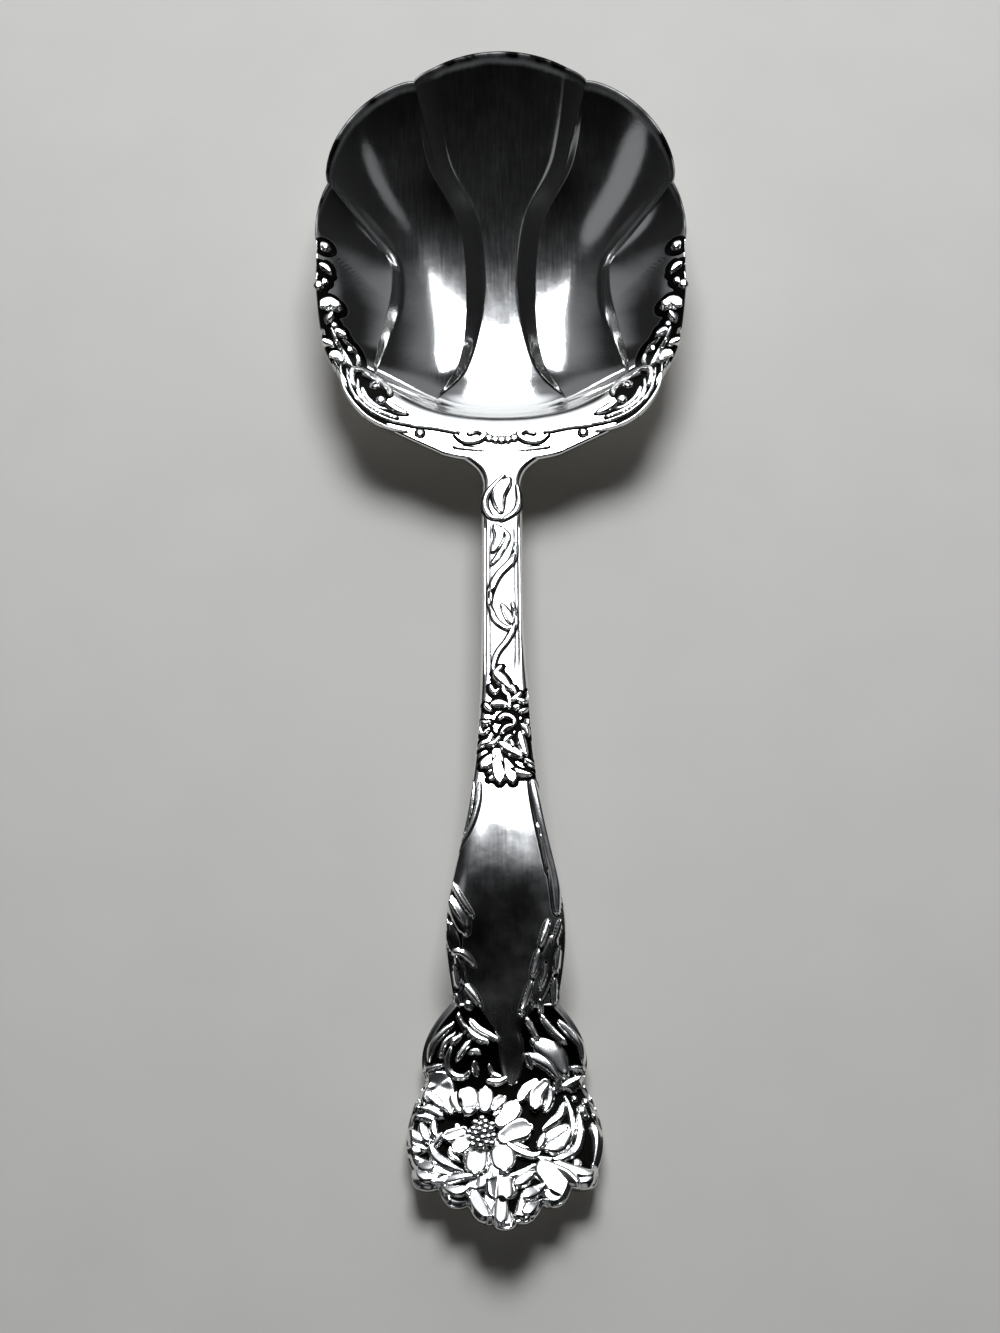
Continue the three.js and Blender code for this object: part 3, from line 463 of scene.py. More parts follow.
# cast border of the rim, drawn on the left half and mirrored to the right: rails and scrolls at the
# corner, commas and beads up the side
rimBorder = dict(
    turns=(-108.0, -214.0), inward=8.5, outward=1.3,
    rail=((5, 7, 6, -289, 454, -286, 420, -277, 393, -260, 366, -237, 342, -206, 324, -170, 314),
          (5, 8, 6, -277, 444, -273, 416, -264, 392, -246, 368, -220, 348, -190, 336, -164, 330),
          (13, 11, 8, -263, 406, -269, 426, -266, 444, -254, 452, -236, 448, -216, 434, -202, 410, -200, 394),
          (7, 8, 6, -257, 422, -255, 396, -240, 372, -216, 356, -186, 345),
          (8, 8, 10, -249, 437, -239, 436, -227, 430, -223, 420, -230, 414),
          (6, 5, 4, -162, 329, -120, 326, -78, 316), (8, 5, 6, -307, 530, -297, 506, -282, 482, -269, 458),
          (8, 4, 6, -286, 514, -268, 502, -258, 482, -260, 462)),
    leaf=((9, 6, 5, -249, 406, -240, 385, -221, 367, -204, 362),
          (16, 6, 13, -330, 659, -319, 653, -311, 642), (15, 12, 7, -306, 559, -313, 548, -316, 538),
          (16, 6, 14, -299, 529, -289, 524, -281, 519), (15, 6, 12, -322, 502, -312, 498, -302, 492),
          (14, 7, 5, -206, 376, -186, 362, -169, 354)),
    petal=((27, 16, 9, -299, 576, -312, 580, -325, 571), (21, 14, 8, -287, 462, -295, 473, -307, 472)),
    bead=((-322, 700, 20), (-332, 615, 18), (-320, 626, 11), (-274, 499, 12), (-227, 415, 17),
          (-216, 382, 16), (-145, 313, 14), (-302, 540, 10)))

# a pair of scrolls and a row of small beads between them
shoulderScrolls = dict(
    along=(27.0, 33.2), reach=9.6,
    rail=((11, 6, 8, -82, 309, -67, 297, -44, 298, -31, 310, -42, 320, -58, 314),
          (11, 6, 8, 82, 309, 67, 297, 44, 298, 31, 310, 42, 320, 58, 314),
          (7, 3, 3, -83, 284, 0, 277, 83, 284)),
    bead=((-22, 304, 12), (-11, 301, 12), (0, 300, 13), (11, 301, 12), (22, 304, 12)))


# Bowl: the dish plus its flutes over the plan's grid, and underneath the same less a wall's thickness.
def buildBowl():
    steps = (1 - np.cos(np.linspace(0, math.pi, bowl["perStrip"] + 1))) / 2
    half = np.concatenate([steps[:-1], 1 + steps[:-1], 2 + steps])
    u, v = np.meshgrid(np.concatenate([-half[:0:-1], half]), np.linspace(0.0, 1.0, bowl["rows"]))
    x, y = bowlPlan(u, v)
    height, arc = dish(x, y)
    z = height + fluteRelief(u, v)
    # drawn in a little, so that the rounded rim ends where the solid does
    x, y = bowl["draw"] * x, blend(deepestY, y, bowl["draw"])
    top = pointsOf(x, y, z)
    normal = unit(np.cross(np.gradient(top, axis=1), np.gradient(top, axis=0)))
    # the sheet thins towards the tip's rim
    wall = bowl["wall"] * (1 - bowl["tipThinning"] * ease(v, 0.85, 1.0))
    bottom = top - wall[..., None] * normal
    bottom[..., 2] = np.maximum(bottom[..., 2], 0.0)
    # black ground under the border, a painted grey shade line where the wall meets the flange, and the tip's
    # rim darkened
    aside = np.abs(x)
    toBorder = struck(-aside, y, marksOf(rimBorder), dishHeight)[2]
    toScrolls = struck(x, y, marksOf(shoulderScrolls), dishHeight)[2]
    ground = ease(aside, *bowl["cornerStart"]) * (1 - ease(toBorder, 0.9, 1.6))
    scrolls = 1 - ease(toScrolls, 0.0, 0.4)
    # painted shade: a grey line along the arc, for the dark that the turning surface reflects there
    line = arc * (1 - ease(aside, 17.0, 21.0))
    # the tip's rim is darkened over its last rows
    lip = bowl["lipDarkening"] * ease(v, 0.965, 0.99)
    recess = np.max([ground, scrolls, line, lip], axis=0)
    return [skin(top, bottom, swell=0.05, recess=recess, thin=2)]


makePiece("bowl", buildBowl(), bowlSilver, "bowl")

handle = dict(stemWidth=6.8, stemThickness=3.8, stemCrown=0.9, rootFlare=3.0, panelWidth=19.2,
              panelThickness=3.2, panelCrown=1.1, panelPillow=0.5, panelEase=14.0, panelFromEnd=50.4,
              neckWidth=16.2, neckFromEnd=35.8, tongue=10.5, tongueWidth=0.33, tongueRise=0.75,
              reedAt=(2.15, 2.85), reedWidth=(0.15, 0.14), reedDepth=0.2, reedEnd=(-19.9, -13.9),
              reedStart=(9.2, 13.9), terminalWidth=31.0, terminalThickness=2.6, terminalCrown=1.1,
              terminalReach=(15.5, 21.0), lobeRelief=0.8, terminalDrop=0.5, terminalRoll=0.5, edge=1.5,
              plateLap=3.0, heelLength=16.0, heelWidth=8.4, heelThickness=2.2, heelLap=4.0,
              lean=0.3, tongueLean=0.8, rows=680, columns=101)
archY = endY + spoon["archFromEnd"]
lowY = endY + spoon["lowFromEnd"]
panelY = endY + handle["panelFromEnd"]
neckY = endY + handle["neckFromEnd"]
stemLength = rootY - archY


# Arch: a gentle parabola from the root up to the crown, an S down to where the handle touches the table
# and a parabola that turns the end up again.
def archTop(y):
    rise = blend(spoon["archHeight"], rimHeight(rootY), ((y - archY) / stemLength) ** 2)
    fallen = np.clip((archY - y) / (archY - lowY), 0.0, 1.0)
    fall = blend(spoon["archHeight"], spoon["lowTop"], fallen ** 3 * (4 - 3 * fallen))
    turned = spoon["endRise"] * (np.maximum(0.0, lowY - y) / spoon["lowFromEnd"]) ** 2
    return np.where(y > archY, rise, fall + turned)


stemWide, panelWide, neckWide = handle["stemWidth"], handle["panelWidth"], handle["neckWidth"]
handleOutline = ((1.45 * stemWide, rootY + handle["rootFlare"]),
                 (0.58 * stemWide, rootY - 0.7 * handle["rootFlare"]),
                 (0.52 * stemWide, rootY - 0.157 * stemLength), (0.5 * stemWide, rootY - 0.43 * stemLength),
                 (0.64 * stemWide, archY + 0.23 * stemLength),
                 (0.32 * panelWide, blend(archY, panelY, 0.05)), (0.5 * panelWide, panelY),
                 (0.5 * neckWide, neckY), (0.5 * neckWide, neckY - 8.0))
outlineRun = curveAt(handleOutline, np.linspace(0, 1, 600))

# struck relief on the stem: a bud in its sepals, a leaf and a vine that winds down to the collar
stemRelief = dict(
    rail=((9, 5, 5, 3, 221, -24, 187, -30, 161, -19, 135, 3, 131),
          (8, 5, 4, 27, 201, 30, 168, 21, 144, -1, 127), (8, 5, 4, -1, 111, 10, 92, -3, 61, -18, 37),
          (12, 5, 4, 24, 78, 17, 45, -7, 14, -20, -18, -22, -47),
          (9, 4, 5, -22, -44, -12, -75, 6, -91, 16, -88),
          (9, 5, 4, 17, -42, 22, -78, 9, -113, -9, -141, -17, -173)),
    leaf=((25, 4, 5, 12, 214, -6, 182, -2, 146), (19, 5, 3, -12, 116, -4, 95, -16, 63),
          (13, 4, 3, 16, -82, 8, -62, -1, -44)))

# leaf folds and strands that frame the panel, left side then right side
panelFolds = dict(
    rail=((8, 5, 4, -39, -386, -42, -424, -55, -466, -79, -507),
          (10, 9, 7, -84, -558, -68, -590, -51, -615), (8, 8, 6, -93, -584, -78, -612, -64, -631),
          (8, 4, 5, -95, -600, -93, -636, -86, -666), (10, 7, 6, -78, -676, -70, -696, -66, -716),
          (11, 3, 14, -79, -686, -77, -704, -75, -722), (11, 3, 14, -78, -730, -76, -750, -77, -768),
          (9, 8, 5, 93, -620, 87, -640, 78, -660), (11, 3, 15, 72, -622, 66, -642, 59, -662),
          (12, 3, 15, 57, -668, 51, -690, 46, -708), (12, 3, 16, 45, -714, 36, -740, 28, -760),
          (9, 3, 15, 68, -683, 66, -705, 58, -726), (11, 3, 14, 89, -660, 86, -680, 84, -700),
          (11, 3, 14, 82, -708, 81, -730, 81, -750), (10, 8, 9, 58, -743, 62, -764, 72, -783),
          (5, 6, 6, 54, -460, 62, -500, 70, -544)),
    fold=((19, 5, 5, -52, -385, -60, -430, -72, -470, -87, -515),
          (28, 5, 5, -88, -584, -71, -616, -62, -638), (22, 4, 4, -86, -626, -80, -650, -80, -669),
          (25, 5, 7, 48, -385, 59, -440, 72, -500, 83, -550, 86, -606),
          (29, 4, 5, 80, -650, 68, -696, 50, -746)),
    leaf=((12, 8, 7, -84, -669, -70, -670, -58, -679, -48, -690),
          (14, 4, 15, -63, -718, -50, -734, -38, -753)),
    bead=((-58, -749, 16), (29, -759, 12)))


# half width of the bar at y: the drawn outline down to the neck, then a tongue with a blunt end
def halfWidthAt(y):
    drawn = np.interp(-y, -outlineRun[:, 1], outlineRun[:, 0])
    past = np.clip((neckY - y) / handle["tongue"], 0.0, 1.0)
    narrowed = blend(1.0, handle["tongueWidth"], ease(neckY - y, -3.0, 2.5))
    return drawn * narrowed * np.sqrt(np.maximum(0.0, 1 - past ** 6))


# the handle leans a hair to the right, its tongue a little more
def tongueShift(y):
    return handle["lean"] * ease(-y, 5.0, 25.0) + handle["tongueLean"] * ease(neckY - y, 0.0, 5.0)


# thickness eases from the stem's to the panel's and then to the end plate's
def barThickness(y):
    intoPanel = ease((archY - y) / stemLength, -0.34, 0.17)
    stemToPanel = blend(handle["stemThickness"], handle["panelThickness"], intoPanel)
    return blend(stemToPanel, handle["terminalThickness"], ease(neckY - y, -8.0, 8.0))


# two reeds along each edge of the stem, 1 in their middle
def reeds(x, y, narrower=0.0):
    places = zip(handle["reedAt"], handle["reedWidth"])
    lines = sum(bell(np.abs(x), at, width - narrower) for at, width in places)
    return ease(y, *handle["reedEnd"]) * (1 - ease(y, *handle["reedStart"])) * lines


# Bar's top: the arch plus a crown across it, flat with rolled edges on the stem and rounded on the
# panel, raised a little where the tongue lies on the end plate.
def barTop(x, y):
    half = np.maximum(halfWidthAt(y), 0.3)
    t = np.clip((x - tongueShift(y)) / half, -1.0, 1.0)
    flared = np.maximum(1.0, 2 * half / handle["stemWidth"])
    onStem = -handle["stemCrown"] / flared * np.abs(t) ** (8 * flared)
    onPanel = -handle["panelPillow"] * t * t - (handle["panelCrown"] - handle["panelPillow"]) * t ** 8
    intoPanel = ease(archY + 0.3 * handle["panelEase"] - y, 0.0, handle["panelEase"])
    lap = handle["tongueRise"] * ease(neckY - y, -3.0, 5.0) + 0.12 * ease(y, rootY - 8.0, rootY)
    return archTop(y) + blend(onStem, onPanel, intoPanel) + lap - handle["reedDepth"] * reeds(x, y)


# Bar: rows across the handle as wide as its outline, on top the crown plus the struck relief, underneath
# the arch less a thickness that falls off towards both edges.
def buildBar():
    y = np.linspace(rootY + handle["rootFlare"], neckY - 0.995 * handle["tongue"], handle["rows"])[:, None]
    t = np.linspace(-1.0, 1.0, handle["columns"])[None, :]
    x = tongueShift(y) + t * halfWidthAt(y)
    y = y + 0.0 * t
    high, below, near = struck(x, y, marksOf(stemRelief) + marksOf(panelFolds), barTop)
    top = pointsOf(x, y, barTop(x, y) + high)
    back = blend(barThickness(y), handle["edge"], t ** 4)
    bottom = pointsOf(x, y, np.maximum(0.0, archTop(y) - back))
    beside = sootBeside(high, below, near, blend(0.5, 0.8, ease(y, -30.0, -15.0)))
    recess = np.maximum(0.8 * reeds(x, y, narrower=0.02), beside)
    return skin(top, bottom, swell=0.12, recess=recess, thin=4)


# share of the end plate's length, from the neck to the end
def down(share):
    return blend(neckY, endY, share)


plateMiddle = np.array([0.0, down(0.407)])


# 0 in the middle of the end plate, 1 on an ellipse near its edge
def plateRing(x, y):
    reachX, reachY = handle["terminalReach"]
    return np.minimum(1.0, np.hypot(x / reachX, (y - plateMiddle[1]) / reachY))


# End plate's top: a low dome over the arch.
def plateTop(x, y):
    return archTop(y) - handle["terminalDrop"] + handle["terminalCrown"] * (1 - plateRing(x, y) ** 2)


# Edge of the end plate in plan: parabolic lobes between notches, mirrored to the left.
def plateEdge(steps=44):
    half = handle["terminalWidth"] / 2
    lobes = ((0.99, 0.11, 0.81, 0.27), (1.12, 0.505, 0.95, 0.688), (0.98, 0.822, 0.67, 0.787),
             (0.6, 0.92, 0.38, 0.872), (0.28, 0.99, 0.12, 0.962), (0.1, 1.0, 0.0, 1.0))
    at = np.array([[0.5 * handle["neckWidth"], neckY + handle["plateLap"]]])
    crest = np.zeros(1)
    k = np.linspace(0.0, 1.0, steps + 1)[1:, None]
    for bulgeX, bulgeY, notchX, notchY in lobes:
        bulge = np.array([bulgeX * half, down(bulgeY)])
        notch = np.array([notchX * half, down(notchY)])
        at = np.concatenate([at, (1 - k) ** 2 * at[-1] + 2 * k * (1 - k) * bulge + k * k * notch])
        crest = np.concatenate([crest, np.sin(math.pi * (1.0 if notchX > 0 else 0.5) * k[:, 0])])
    mirror = at[-2::-1] * np.array([-1.0, 1.0])
    neck = np.linspace(mirror[-1], at[0], 120)[1:-1]
    return np.concatenate([at, mirror, neck]), np.concatenate([crest, crest[-2::-1], np.zeros(len(neck))])


# A disc of struck relief: rings from its middle out to its edge over the top and back underneath. Height
# is the ground plus the marks, sunk a little where there are none. A rolled edge is worn bright.
def reliefDisc(middle, edge, ground, marks, rings, sink, depth, roll=0.0, least=1.0):
    share, under = np.linspace(0.0, 1.0, rings)[:, None], np.linspace(1.0, 0.0, 12)[:, None]
    x, y = (blend(start, stop, share) for start, stop in zip(middle, edge.T))
    underX, underY = (blend(start, stop, under) for start, stop in zip(middle, edge.T))
    high, below, near = struck(x, y, marks, ground)
    lift = ground(x, y) + np.where(high > 0, high, -sink) - roll * ease(share, 0.94, 1.0)
    back = np.maximum(0.0, ground(underX, underY) - blend(depth, handle["edge"], under ** 3))
    points = np.concatenate([pointsOf(x, y, lift), pointsOf(underX, underY, back)])
    soot = sootBeside(high, below, near, 0.7, least) * (1 - 1.4 * roll * ease(share, 0.92, 0.97))
    return points, np.concatenate([soot, np.zeros_like(back)])


# End plate: a disc of relief inside its lobed edge, where the lobes swell towards the edge.
def buildPlate():
    edge, crest = plateEdge()
    turn = np.arctan2(edge[:, 1] - plateMiddle[1], edge[:, 0])

    def lobedTop(x, y):
        swelling = np.interp(np.arctan2(y - plateMiddle[1], x), turn, crest, period=2 * math.pi)
        return plateTop(x, y) + handle["lobeRelief"] * swelling * plateRing(x, y) ** 3

    points, soot = reliefDisc(plateMiddle, edge, lobedTop, marksOf(plateFoliage), rings=130, sink=0.0,
                              depth=handle["terminalThickness"], roll=handle["terminalRoll"], least=0.97)
    points[..., 1] = np.maximum(points[..., 1], endY)
    return points, soot


# Heel: a tongue under the bowl, as deep as the bowl's wall, thinning towards its rounded tip.
def buildHeel():
    s = np.linspace(0.0, 1.0, 40)[:, None]
    t = np.linspace(-1.0, 1.0, 17)[None, :]
    y = blend(rootY - handle["heelLap"], rootY + handle["heelLength"], s) + 0.0 * t
    rounded = 0.5 * handle["heelWidth"] * np.sqrt(np.maximum(0.02, 1 - s ** 3))
    x = t * np.minimum(rounded, 0.85 * halfWidthAt(y))
    inside = dishHeight(x, np.maximum(y, rootY))
    steep = np.hypot(1.0, slopes(dishHeight, x, y)[1])
    thick = bowl["wall"] + 0.3 + handle["heelThickness"] * (1 - 0.7 * s) * (1 - 0.6 * t * t)
    top = pointsOf(x, y, inside - 0.6 * bowl["wall"] * steep)
    bottom = pointsOf(x, y, np.maximum(0.0, inside - thick * steep))
    return skin(top, bottom, swell=0.1)


# foliage struck on the end plate: left scroll, right shoulder, left leaves, right edge, lobes at the end
plateFoliage = dict(
    rail=((12, 3, 15, -75, -762, -66, -780, -46, -798, -27, -807),
          (12, 3, 13, -55, -770, -40, -786, -11, -803), (10, 5, 9, -69, -794, -85, -808),
          (11, 4, 12, -55, -803, -66, -816, -77, -834), (10, 9, 9, -57, -823, -47, -819, -39, -823),
          (11, 3, 14, -82, -776, -100, -791, -116, -811, -122, -834),
          (9, 3, 12, -80, -792, -96, -806, -104, -826),
          (12, 7, 10, -87, -814, -93, -832, -90, -848, -80, -858, -66, -860, -57, -853),
          (10, 8, 9, -25, -842, -19, -856, -6, -862), (12, 9, 9, -28, -867, -12, -869, 3, -863),
          (12, 6, 6, -49, -836, -45, -858), (10, 8, 8, -100, -841, -123, -847, -140, -859),
          (9, 8, 9, -148, -867, -130, -875), (12, 3, 16, 60, -764, 67, -776, 82, -794, 98, -808),
          (15, 3, 15, 88, -774, 108, -794, 123, -812, 126, -836),
          (11, 4, 13, 36, -769, 44, -784, 53, -800), (10, 7, 7, 106, -846, 126, -848, 142, -864),
          (10, 8, 8, 96, -893, 105, -920, 108, -950, 103, -972),
          (15, 9, 11, 118, -924, 120, -955, 112, -984, 90, -1000, 74, -1005),
          (12, 10, 10, 7, -1033, 26, -1026, 47, -1013)),
    fold=((41, 3, 11, 52, -804, 76, -822, 96, -854), (22, 5, 4, 60, -966, 80, -953, 98, -944),
          (22, 4, 4, -122, -1012, -102, -1020, -84, -1024), (34, 4, 4, -96, -1046, -102, -1060, -92, -1074)),
    leaf=((21, 7, 14, 34, -826, 54, -833, 70, -844, 86, -866), (13, 10, 9, 37, -827, 43, -848),
          (16, 10, 9, 87, -864, 83, -886), (17, 10, 8, 93, -879, 106, -869, 129, -858),
          (12, 8, 8, 102, -882, 123, -870), (22, 11, 9, -98, -912, -116, -894, -132, -879),
          (15, 9, 9, -122, -904, -134, -882), (18, 9, 8, -140, -914, -146, -900, -147, -886),
          (18, 11, 9, -99, -928, -118, -916, -139, -912), (15, 9, 8, -112, -934, -126, -928, -146, -926),
          (16, 11, 9, -110, -962, -113, -946, -112, -932), (24, 9, 8, -132, -970, -144, -960, -152, -948),
          (22, 10, 8, -122, -970, -128, -954, -134, -938), (15, 11, 9, -100, -956, -109, -970, -116, -980),
          (21, 9, 7, -134, -988, -146, -986, -156, -980), (15, 9, 7, -124, -984, -138, -976, -152, -970),
          (21, 11, 11, -119, -976, -108, -996, -90, -1011, -67, -1023),
          (26, 8, 8, -116, -1016, -130, -1008, -146, -998),
          (17, 9, 11, -114, -1041, -86, -1036, -62, -1032, -34, -1033),
          (22, 9, 8, -59, -1054, -76, -1058, -98, -1050),
          (20, 6, 5, -140, -1022, -122, -1032, -104, -1030),
          (29, 12, 9, -22, -1030, -38, -1045, -60, -1050),
          (24, 8, 8, 140, -942, 150, -970, 147, -1000, 138, -1016),
          (32, 9, 9, 66, -984, 88, -974, 104, -952), (17, 9, 8, 54, -982, 59, -969, 63, -956),
          (27, 11, 8, 54, -1000, 80, -1013, 104, -1022, 132, -1026, 148, -1016),
          (24, 11, 11, 16, -1049, 32, -1036, 46, -1026), (24, 10, 9, 26, -1070, 46, -1059, 62, -1048),
          (29, 9, 8, 28, -1098, 46, -1088, 64, -1075), (22, 7, 6, 106, -1036, 124, -1044, 140, -1034),
          (23, 10, 9, 26, -1074, 24, -1100, 9, -1124)),
    petal=((51, 9, 7, -92, -898, -102, -880, -116, -854), (54, 13, 10, -14, -1024, -7, -1048, -4, -1074),
           (29, 10, 11, -6, -1076, -8, -1096, -10, -1116), (32, 8, 9, -49, -1066, -40, -1090, -32, -1110),
           (22, 6, 5, -25, -1064, -25, -1084, -26, -1104), (59, 12, 10, 64, -1022, 86, -1043, 104, -1066),
           (32, 6, 6, 70, -1064, 82, -1076, 92, -1088), (44, 4, 5, -2, -1106, 2, -1120, 4, -1132)),
    bead=((114, -851, 9), (131, -872, 10), (142, -892, 12), (130, -902, 12), (123, -916, 16),
          (129, -925, 11), (145, -924, 12), (150, -908, 9), (112, -896, 9), (-103, -823, 11),
          (33, -1112, 15), (114, -1006, 15), (57, -1030, 15)))

makePiece("handle_bar", [buildBar(), buildHeel()], handleSilver, "handle")
makePiece("handle_foliage", [buildPlate()], struckSilver, "handle")


# Border: a sheet that follows the rim by direction from the dish's deepest point. It sinks into the bowl
# between its marks and ends at the last mark outwards, so that beads overhang the rim.
def buildBorder(side):
    marks = marksOf(rimBorder)
    turn = np.radians(np.linspace(*rimBorder["turns"], 480))[:, None]
    rim = np.interp(turn, rimTurn, rimFar, period=2 * math.pi)
    out = rim + np.linspace(-rimBorder["inward"], rimBorder["outward"], 90)[None, :]
    high = struck(out * np.cos(turn), deepestY + out * np.sin(turn), marks, dishHeight)[0]
    last = np.maximum(np.where(high > 0, out, 0.0).max(axis=1, keepdims=True), rim - 0.8)
    out = blend(rim - rimBorder["inward"], last, np.linspace(0.0, 1.0, 72)[None, :])
    x, y = out * np.cos(turn), deepestY + out * np.sin(turn)
    # black ground round the marks, wide at the side and narrow by the stem
    black = blend(0.3, 1.0, ease(-x, *bowl["cornerStart"]))
    points, soot = reliefSheet(x, y, dishHeight, marks, black, stand=0.15, depth=0.7)
    return [(points * np.array([-side, 1.0, 1.0]), soot)]


makePiece("left_rim_mount", buildBorder(-1), mountSilver, "left_rim_mount")
makePiece("right_rim_mount", buildBorder(1), mountSilver, "right_rim_mount")


# Scrolls: an oblong sheet of relief on the bowl's flange.
def buildScrolls():
    along, reach = shoulderScrolls["along"], shoulderScrolls["reach"]
    y, x = np.meshgrid(np.linspace(*along, 80), np.linspace(-reach, reach, 220), indexing="ij")
    return [reliefSheet(x, y, dishHeight, marksOf(shoulderScrolls), black=0.25, stand=0.12, depth=0.7)]


makePiece("shoulder_cartouche", buildScrolls(), mountSilver, "shoulder_cartouche")

# knot of leaves across the handle, drawn from the stem down to the three petals at its lower edge
collarLeaves = dict(
    along=(-16.0, -39.6), share=0.98,
    rail=((9, 8, 7, 0, -203, 2, -216, 9, -224, 11, -236, 10, -248),
          (9, 9, 8, -7, -269, 1, -262, 12, -264, 19, -272, 17, -281),
          (9, 7, 6, -36, -274, -38, -286, -35, -295), (7, 6, 6, 42, -213, 43, -224, 42, -234)),
    leaf=((21, 9, 9, -14, -180, -2, -193, 13, -212), (10, 5, 7, -2, -166, -8, -173, -14, -180),
          (11, 7, 7, 14, -205, 21, -218), (10, 8, 7, -21, -205, -14, -217, -6, -211),
          (16, 9, 9, -19, -241, -5, -238, 8, -243), (10, 7, 7, -30, -239, -24, -247, -19, -252),
          (10, 8, 7, 15, -232, 23, -226, 30, -218), (10, 8, 7, 23, -231, 34, -234, 43, -232),
          (11, 8, 7, 18, -247, 28, -244), (9, 7, 7, 27, -255, 35, -252, 43, -247),
          (11, 8, 8, 16, -281, 5, -285, -4, -296), (10, 8, 7, 2, -311, 7, -304, 14, -299),
          (10, 7, 7, -37, -272, -29, -276, -21, -273), (7, 6, 6, -34, -297, -22, -285),
          (14, 8, 8, -19, -296, -24, -310, -33, -314, -42, -322),
          (10, 8, 7, -30, -316, -16, -314, -6, -301), (16, 8, 7, 31, -280, 38, -288, 42, -299),
          (16, 8, 7, 28, -294, 32, -315, 39, -337), (20, 8, 9, -5, -314, 8, -323, 22, -332, 31, -340),
          (10, 9, 8, 13, -309, 17, -326), (10, 7, 7, 37, -344, 47, -352, 54, -358),
          (14, 8, 8, 12, -362, 28, -369, 46, -373), (9, 7, 7, -13, -362, -25, -368),
          (11, 7, 7, -13, -374, -24, -380)),
    petal=((21, 8, 9, -16, -338, -25, -347, -34, -357), (27, 9, 10, -11, -332, -8, -354, -6, -385),
           (24, 8, 10, 2, -349, 10, -364, 16, -385)),
    bead=((42, -273, 14),))


# Collar: a sheet of relief over the bar, nearly as wide as the bar is.
def buildCollar():
    along, share = collarLeaves["along"], collarLeaves["share"]
    y, t = np.meshgrid(np.linspace(*along, 260), np.linspace(-share, share, 96), indexing="ij")
    x = tongueShift(y) + t * halfWidthAt(y)
    return [reliefSheet(x, y, barTop, marksOf(collarLeaves), black=0.6, stand=0.1, depth=0.8)]


makePiece("leaf_collar", buildCollar(), foliageSilver, "leaf_collar")


# A straight round bar with domed ends.
def cane(root, head, width, sides):
    ahead = unit(head - root)
    across = unit(np.cross([0.0, 0.0, 1.0], ahead))
    up = np.cross(ahead, across)
    dome = np.linspace(0.0, math.pi / 2, 5)[1:]
    share = np.concatenate([np.zeros(4), np.linspace(0.0, 1.0, 6), np.ones(4)])[:, None]
    grow = np.concatenate([np.cos(dome[::-1]), np.ones(6), np.cos(dome)])[:, None, None]
    shift = np.concatenate([-np.sin(dome[::-1]), np.zeros(6), np.sin(dome)])[:, None]
    angle = np.linspace(0.0, 2 * math.pi, sides, endpoint=False)[:, None]
    ring = across * np.cos(angle) + up * np.sin(angle)
    return (blend(root, head, share) + 0.5 * width * shift * ahead)[:, None] + 0.5 * width * grow * ring


# An ellipsoid of rings round a centre.
def bead(centre, radii, sides, rings):
    polar = np.linspace(0.0, math.pi, rings)[:, None]
    turn = np.linspace(0.0, 2 * math.pi, sides, endpoint=False)[None, :]
    x, y, z = np.sin(polar) * np.cos(turn), np.sin(polar) * np.sin(turn), np.cos(polar) + 0 * turn
    return pointsOf(x, y, z) * np.array(radii) + centre


# plan points of an oval round the middle of a piece
def ovalEdge(settings, count):
    turn = np.linspace(0.0, 2 * math.pi, count, endpoint=False)
    circle = pointsOf(np.cos(turn), np.sin(turn))
    return np.array(settings["middle"]) + circle * settings["reach"]


# open flower: its petals, small leaves between them, and the heart that the stamens stand in
flower = dict(
    middle=(-2.6, -95.4), reach=(9.2, 8.2), heart=(-3.6, -96.4), stamens=21, turn=2.399, spread=2.3,
    stalk=0.42, knob=(0.6, 0.5, 0.2), footRise=0.6, headRise=2.5,
    droop=0.3, gather=0.3, nod=0.3, stretch=1.1,
    leaf=((13, 15, 12, -18, -929, -5, -919), (19, 12, 10, 4, -976, 22, -988, 44, -996, 58, -990),
          (11, 9, 9, 8, -969, 22, -978, 39, -984), (14, 9, 10, -87, -980, -84, -994, -72, -1004),
          (12, 7, 8, -24, -988, -24, -1014), (11, 8, 8, -60, -992, -65, -1009)),
    petal=((42, 22, 8, -57, -918, -59, -902, -63, -878), (25, 20, 8, -72, -917, -77, -900, -80, -878),
           (32, 22, 8, -32, -917, -31, -902, -31, -880), (15, 18, 6, -44, -916, -45, -900, -46, -884),
           (24, 18, 9, -17, -916, -10, -905, 0, -896), (22, 16, 8, -86, -919, -92, -906, -93, -889),
           (38, 15, 13, -6, -939, 7, -926, 18, -906), (46, 13, 15, 0, -965, 18, -954, 40, -948),
           (46, 9, 19, -8, -976, -4, -996, -1, -1022), (42, 9, 19, -40, -984, -45, -1004, -47, -1027),
           (31, 10, 16, -56, -968, -69, -978, -80, -988), (26, 10, 15, -66, -952, -82, -959, -96, -964)),
    bead=((-36, -969, 26), (-76, -943, 12)))


# Blossom: a disc of petals round a black hollow, with a tuft of stamens that fan up from its heart.
def buildFlower():
    lofts = [reliefDisc(flower["middle"], ovalEdge(flower, 420), plateTop, marksOf(flower),
                        rings=110, sink=0.25, depth=1.2)]
    x0, y0 = flower["heart"]
    base = float(plateTop(np.array(x0), np.array(y0)))
    count, gather, nod = flower["stamens"], flower["gather"], flower["nod"]
    for k in range(count):
        angle, far = flower["turn"] * k, flower["spread"] * math.sqrt((k + 0.5) / count)
        east, north = far * math.cos(angle), far * math.sin(angle)
        top = base + flower["headRise"] - flower["droop"] * far
        head = np.array([x0 + east, y0 + nod + flower["stretch"] * north, top])
        root = np.array([x0 + gather * east, y0 - nod + gather * north, base + flower["footRise"]])
        stalk = cane(root, head, flower["stalk"], sides=8)
        knob = bead(head, flower["knob"], sides=12, rings=7)
        lofts += [(stalk, np.full(stalk.shape[:2], 0.2)), (knob, np.zeros(knob.shape[:2]))]
    return lofts


makePiece("blossom", buildFlower(), foliageSilver, "blossom")

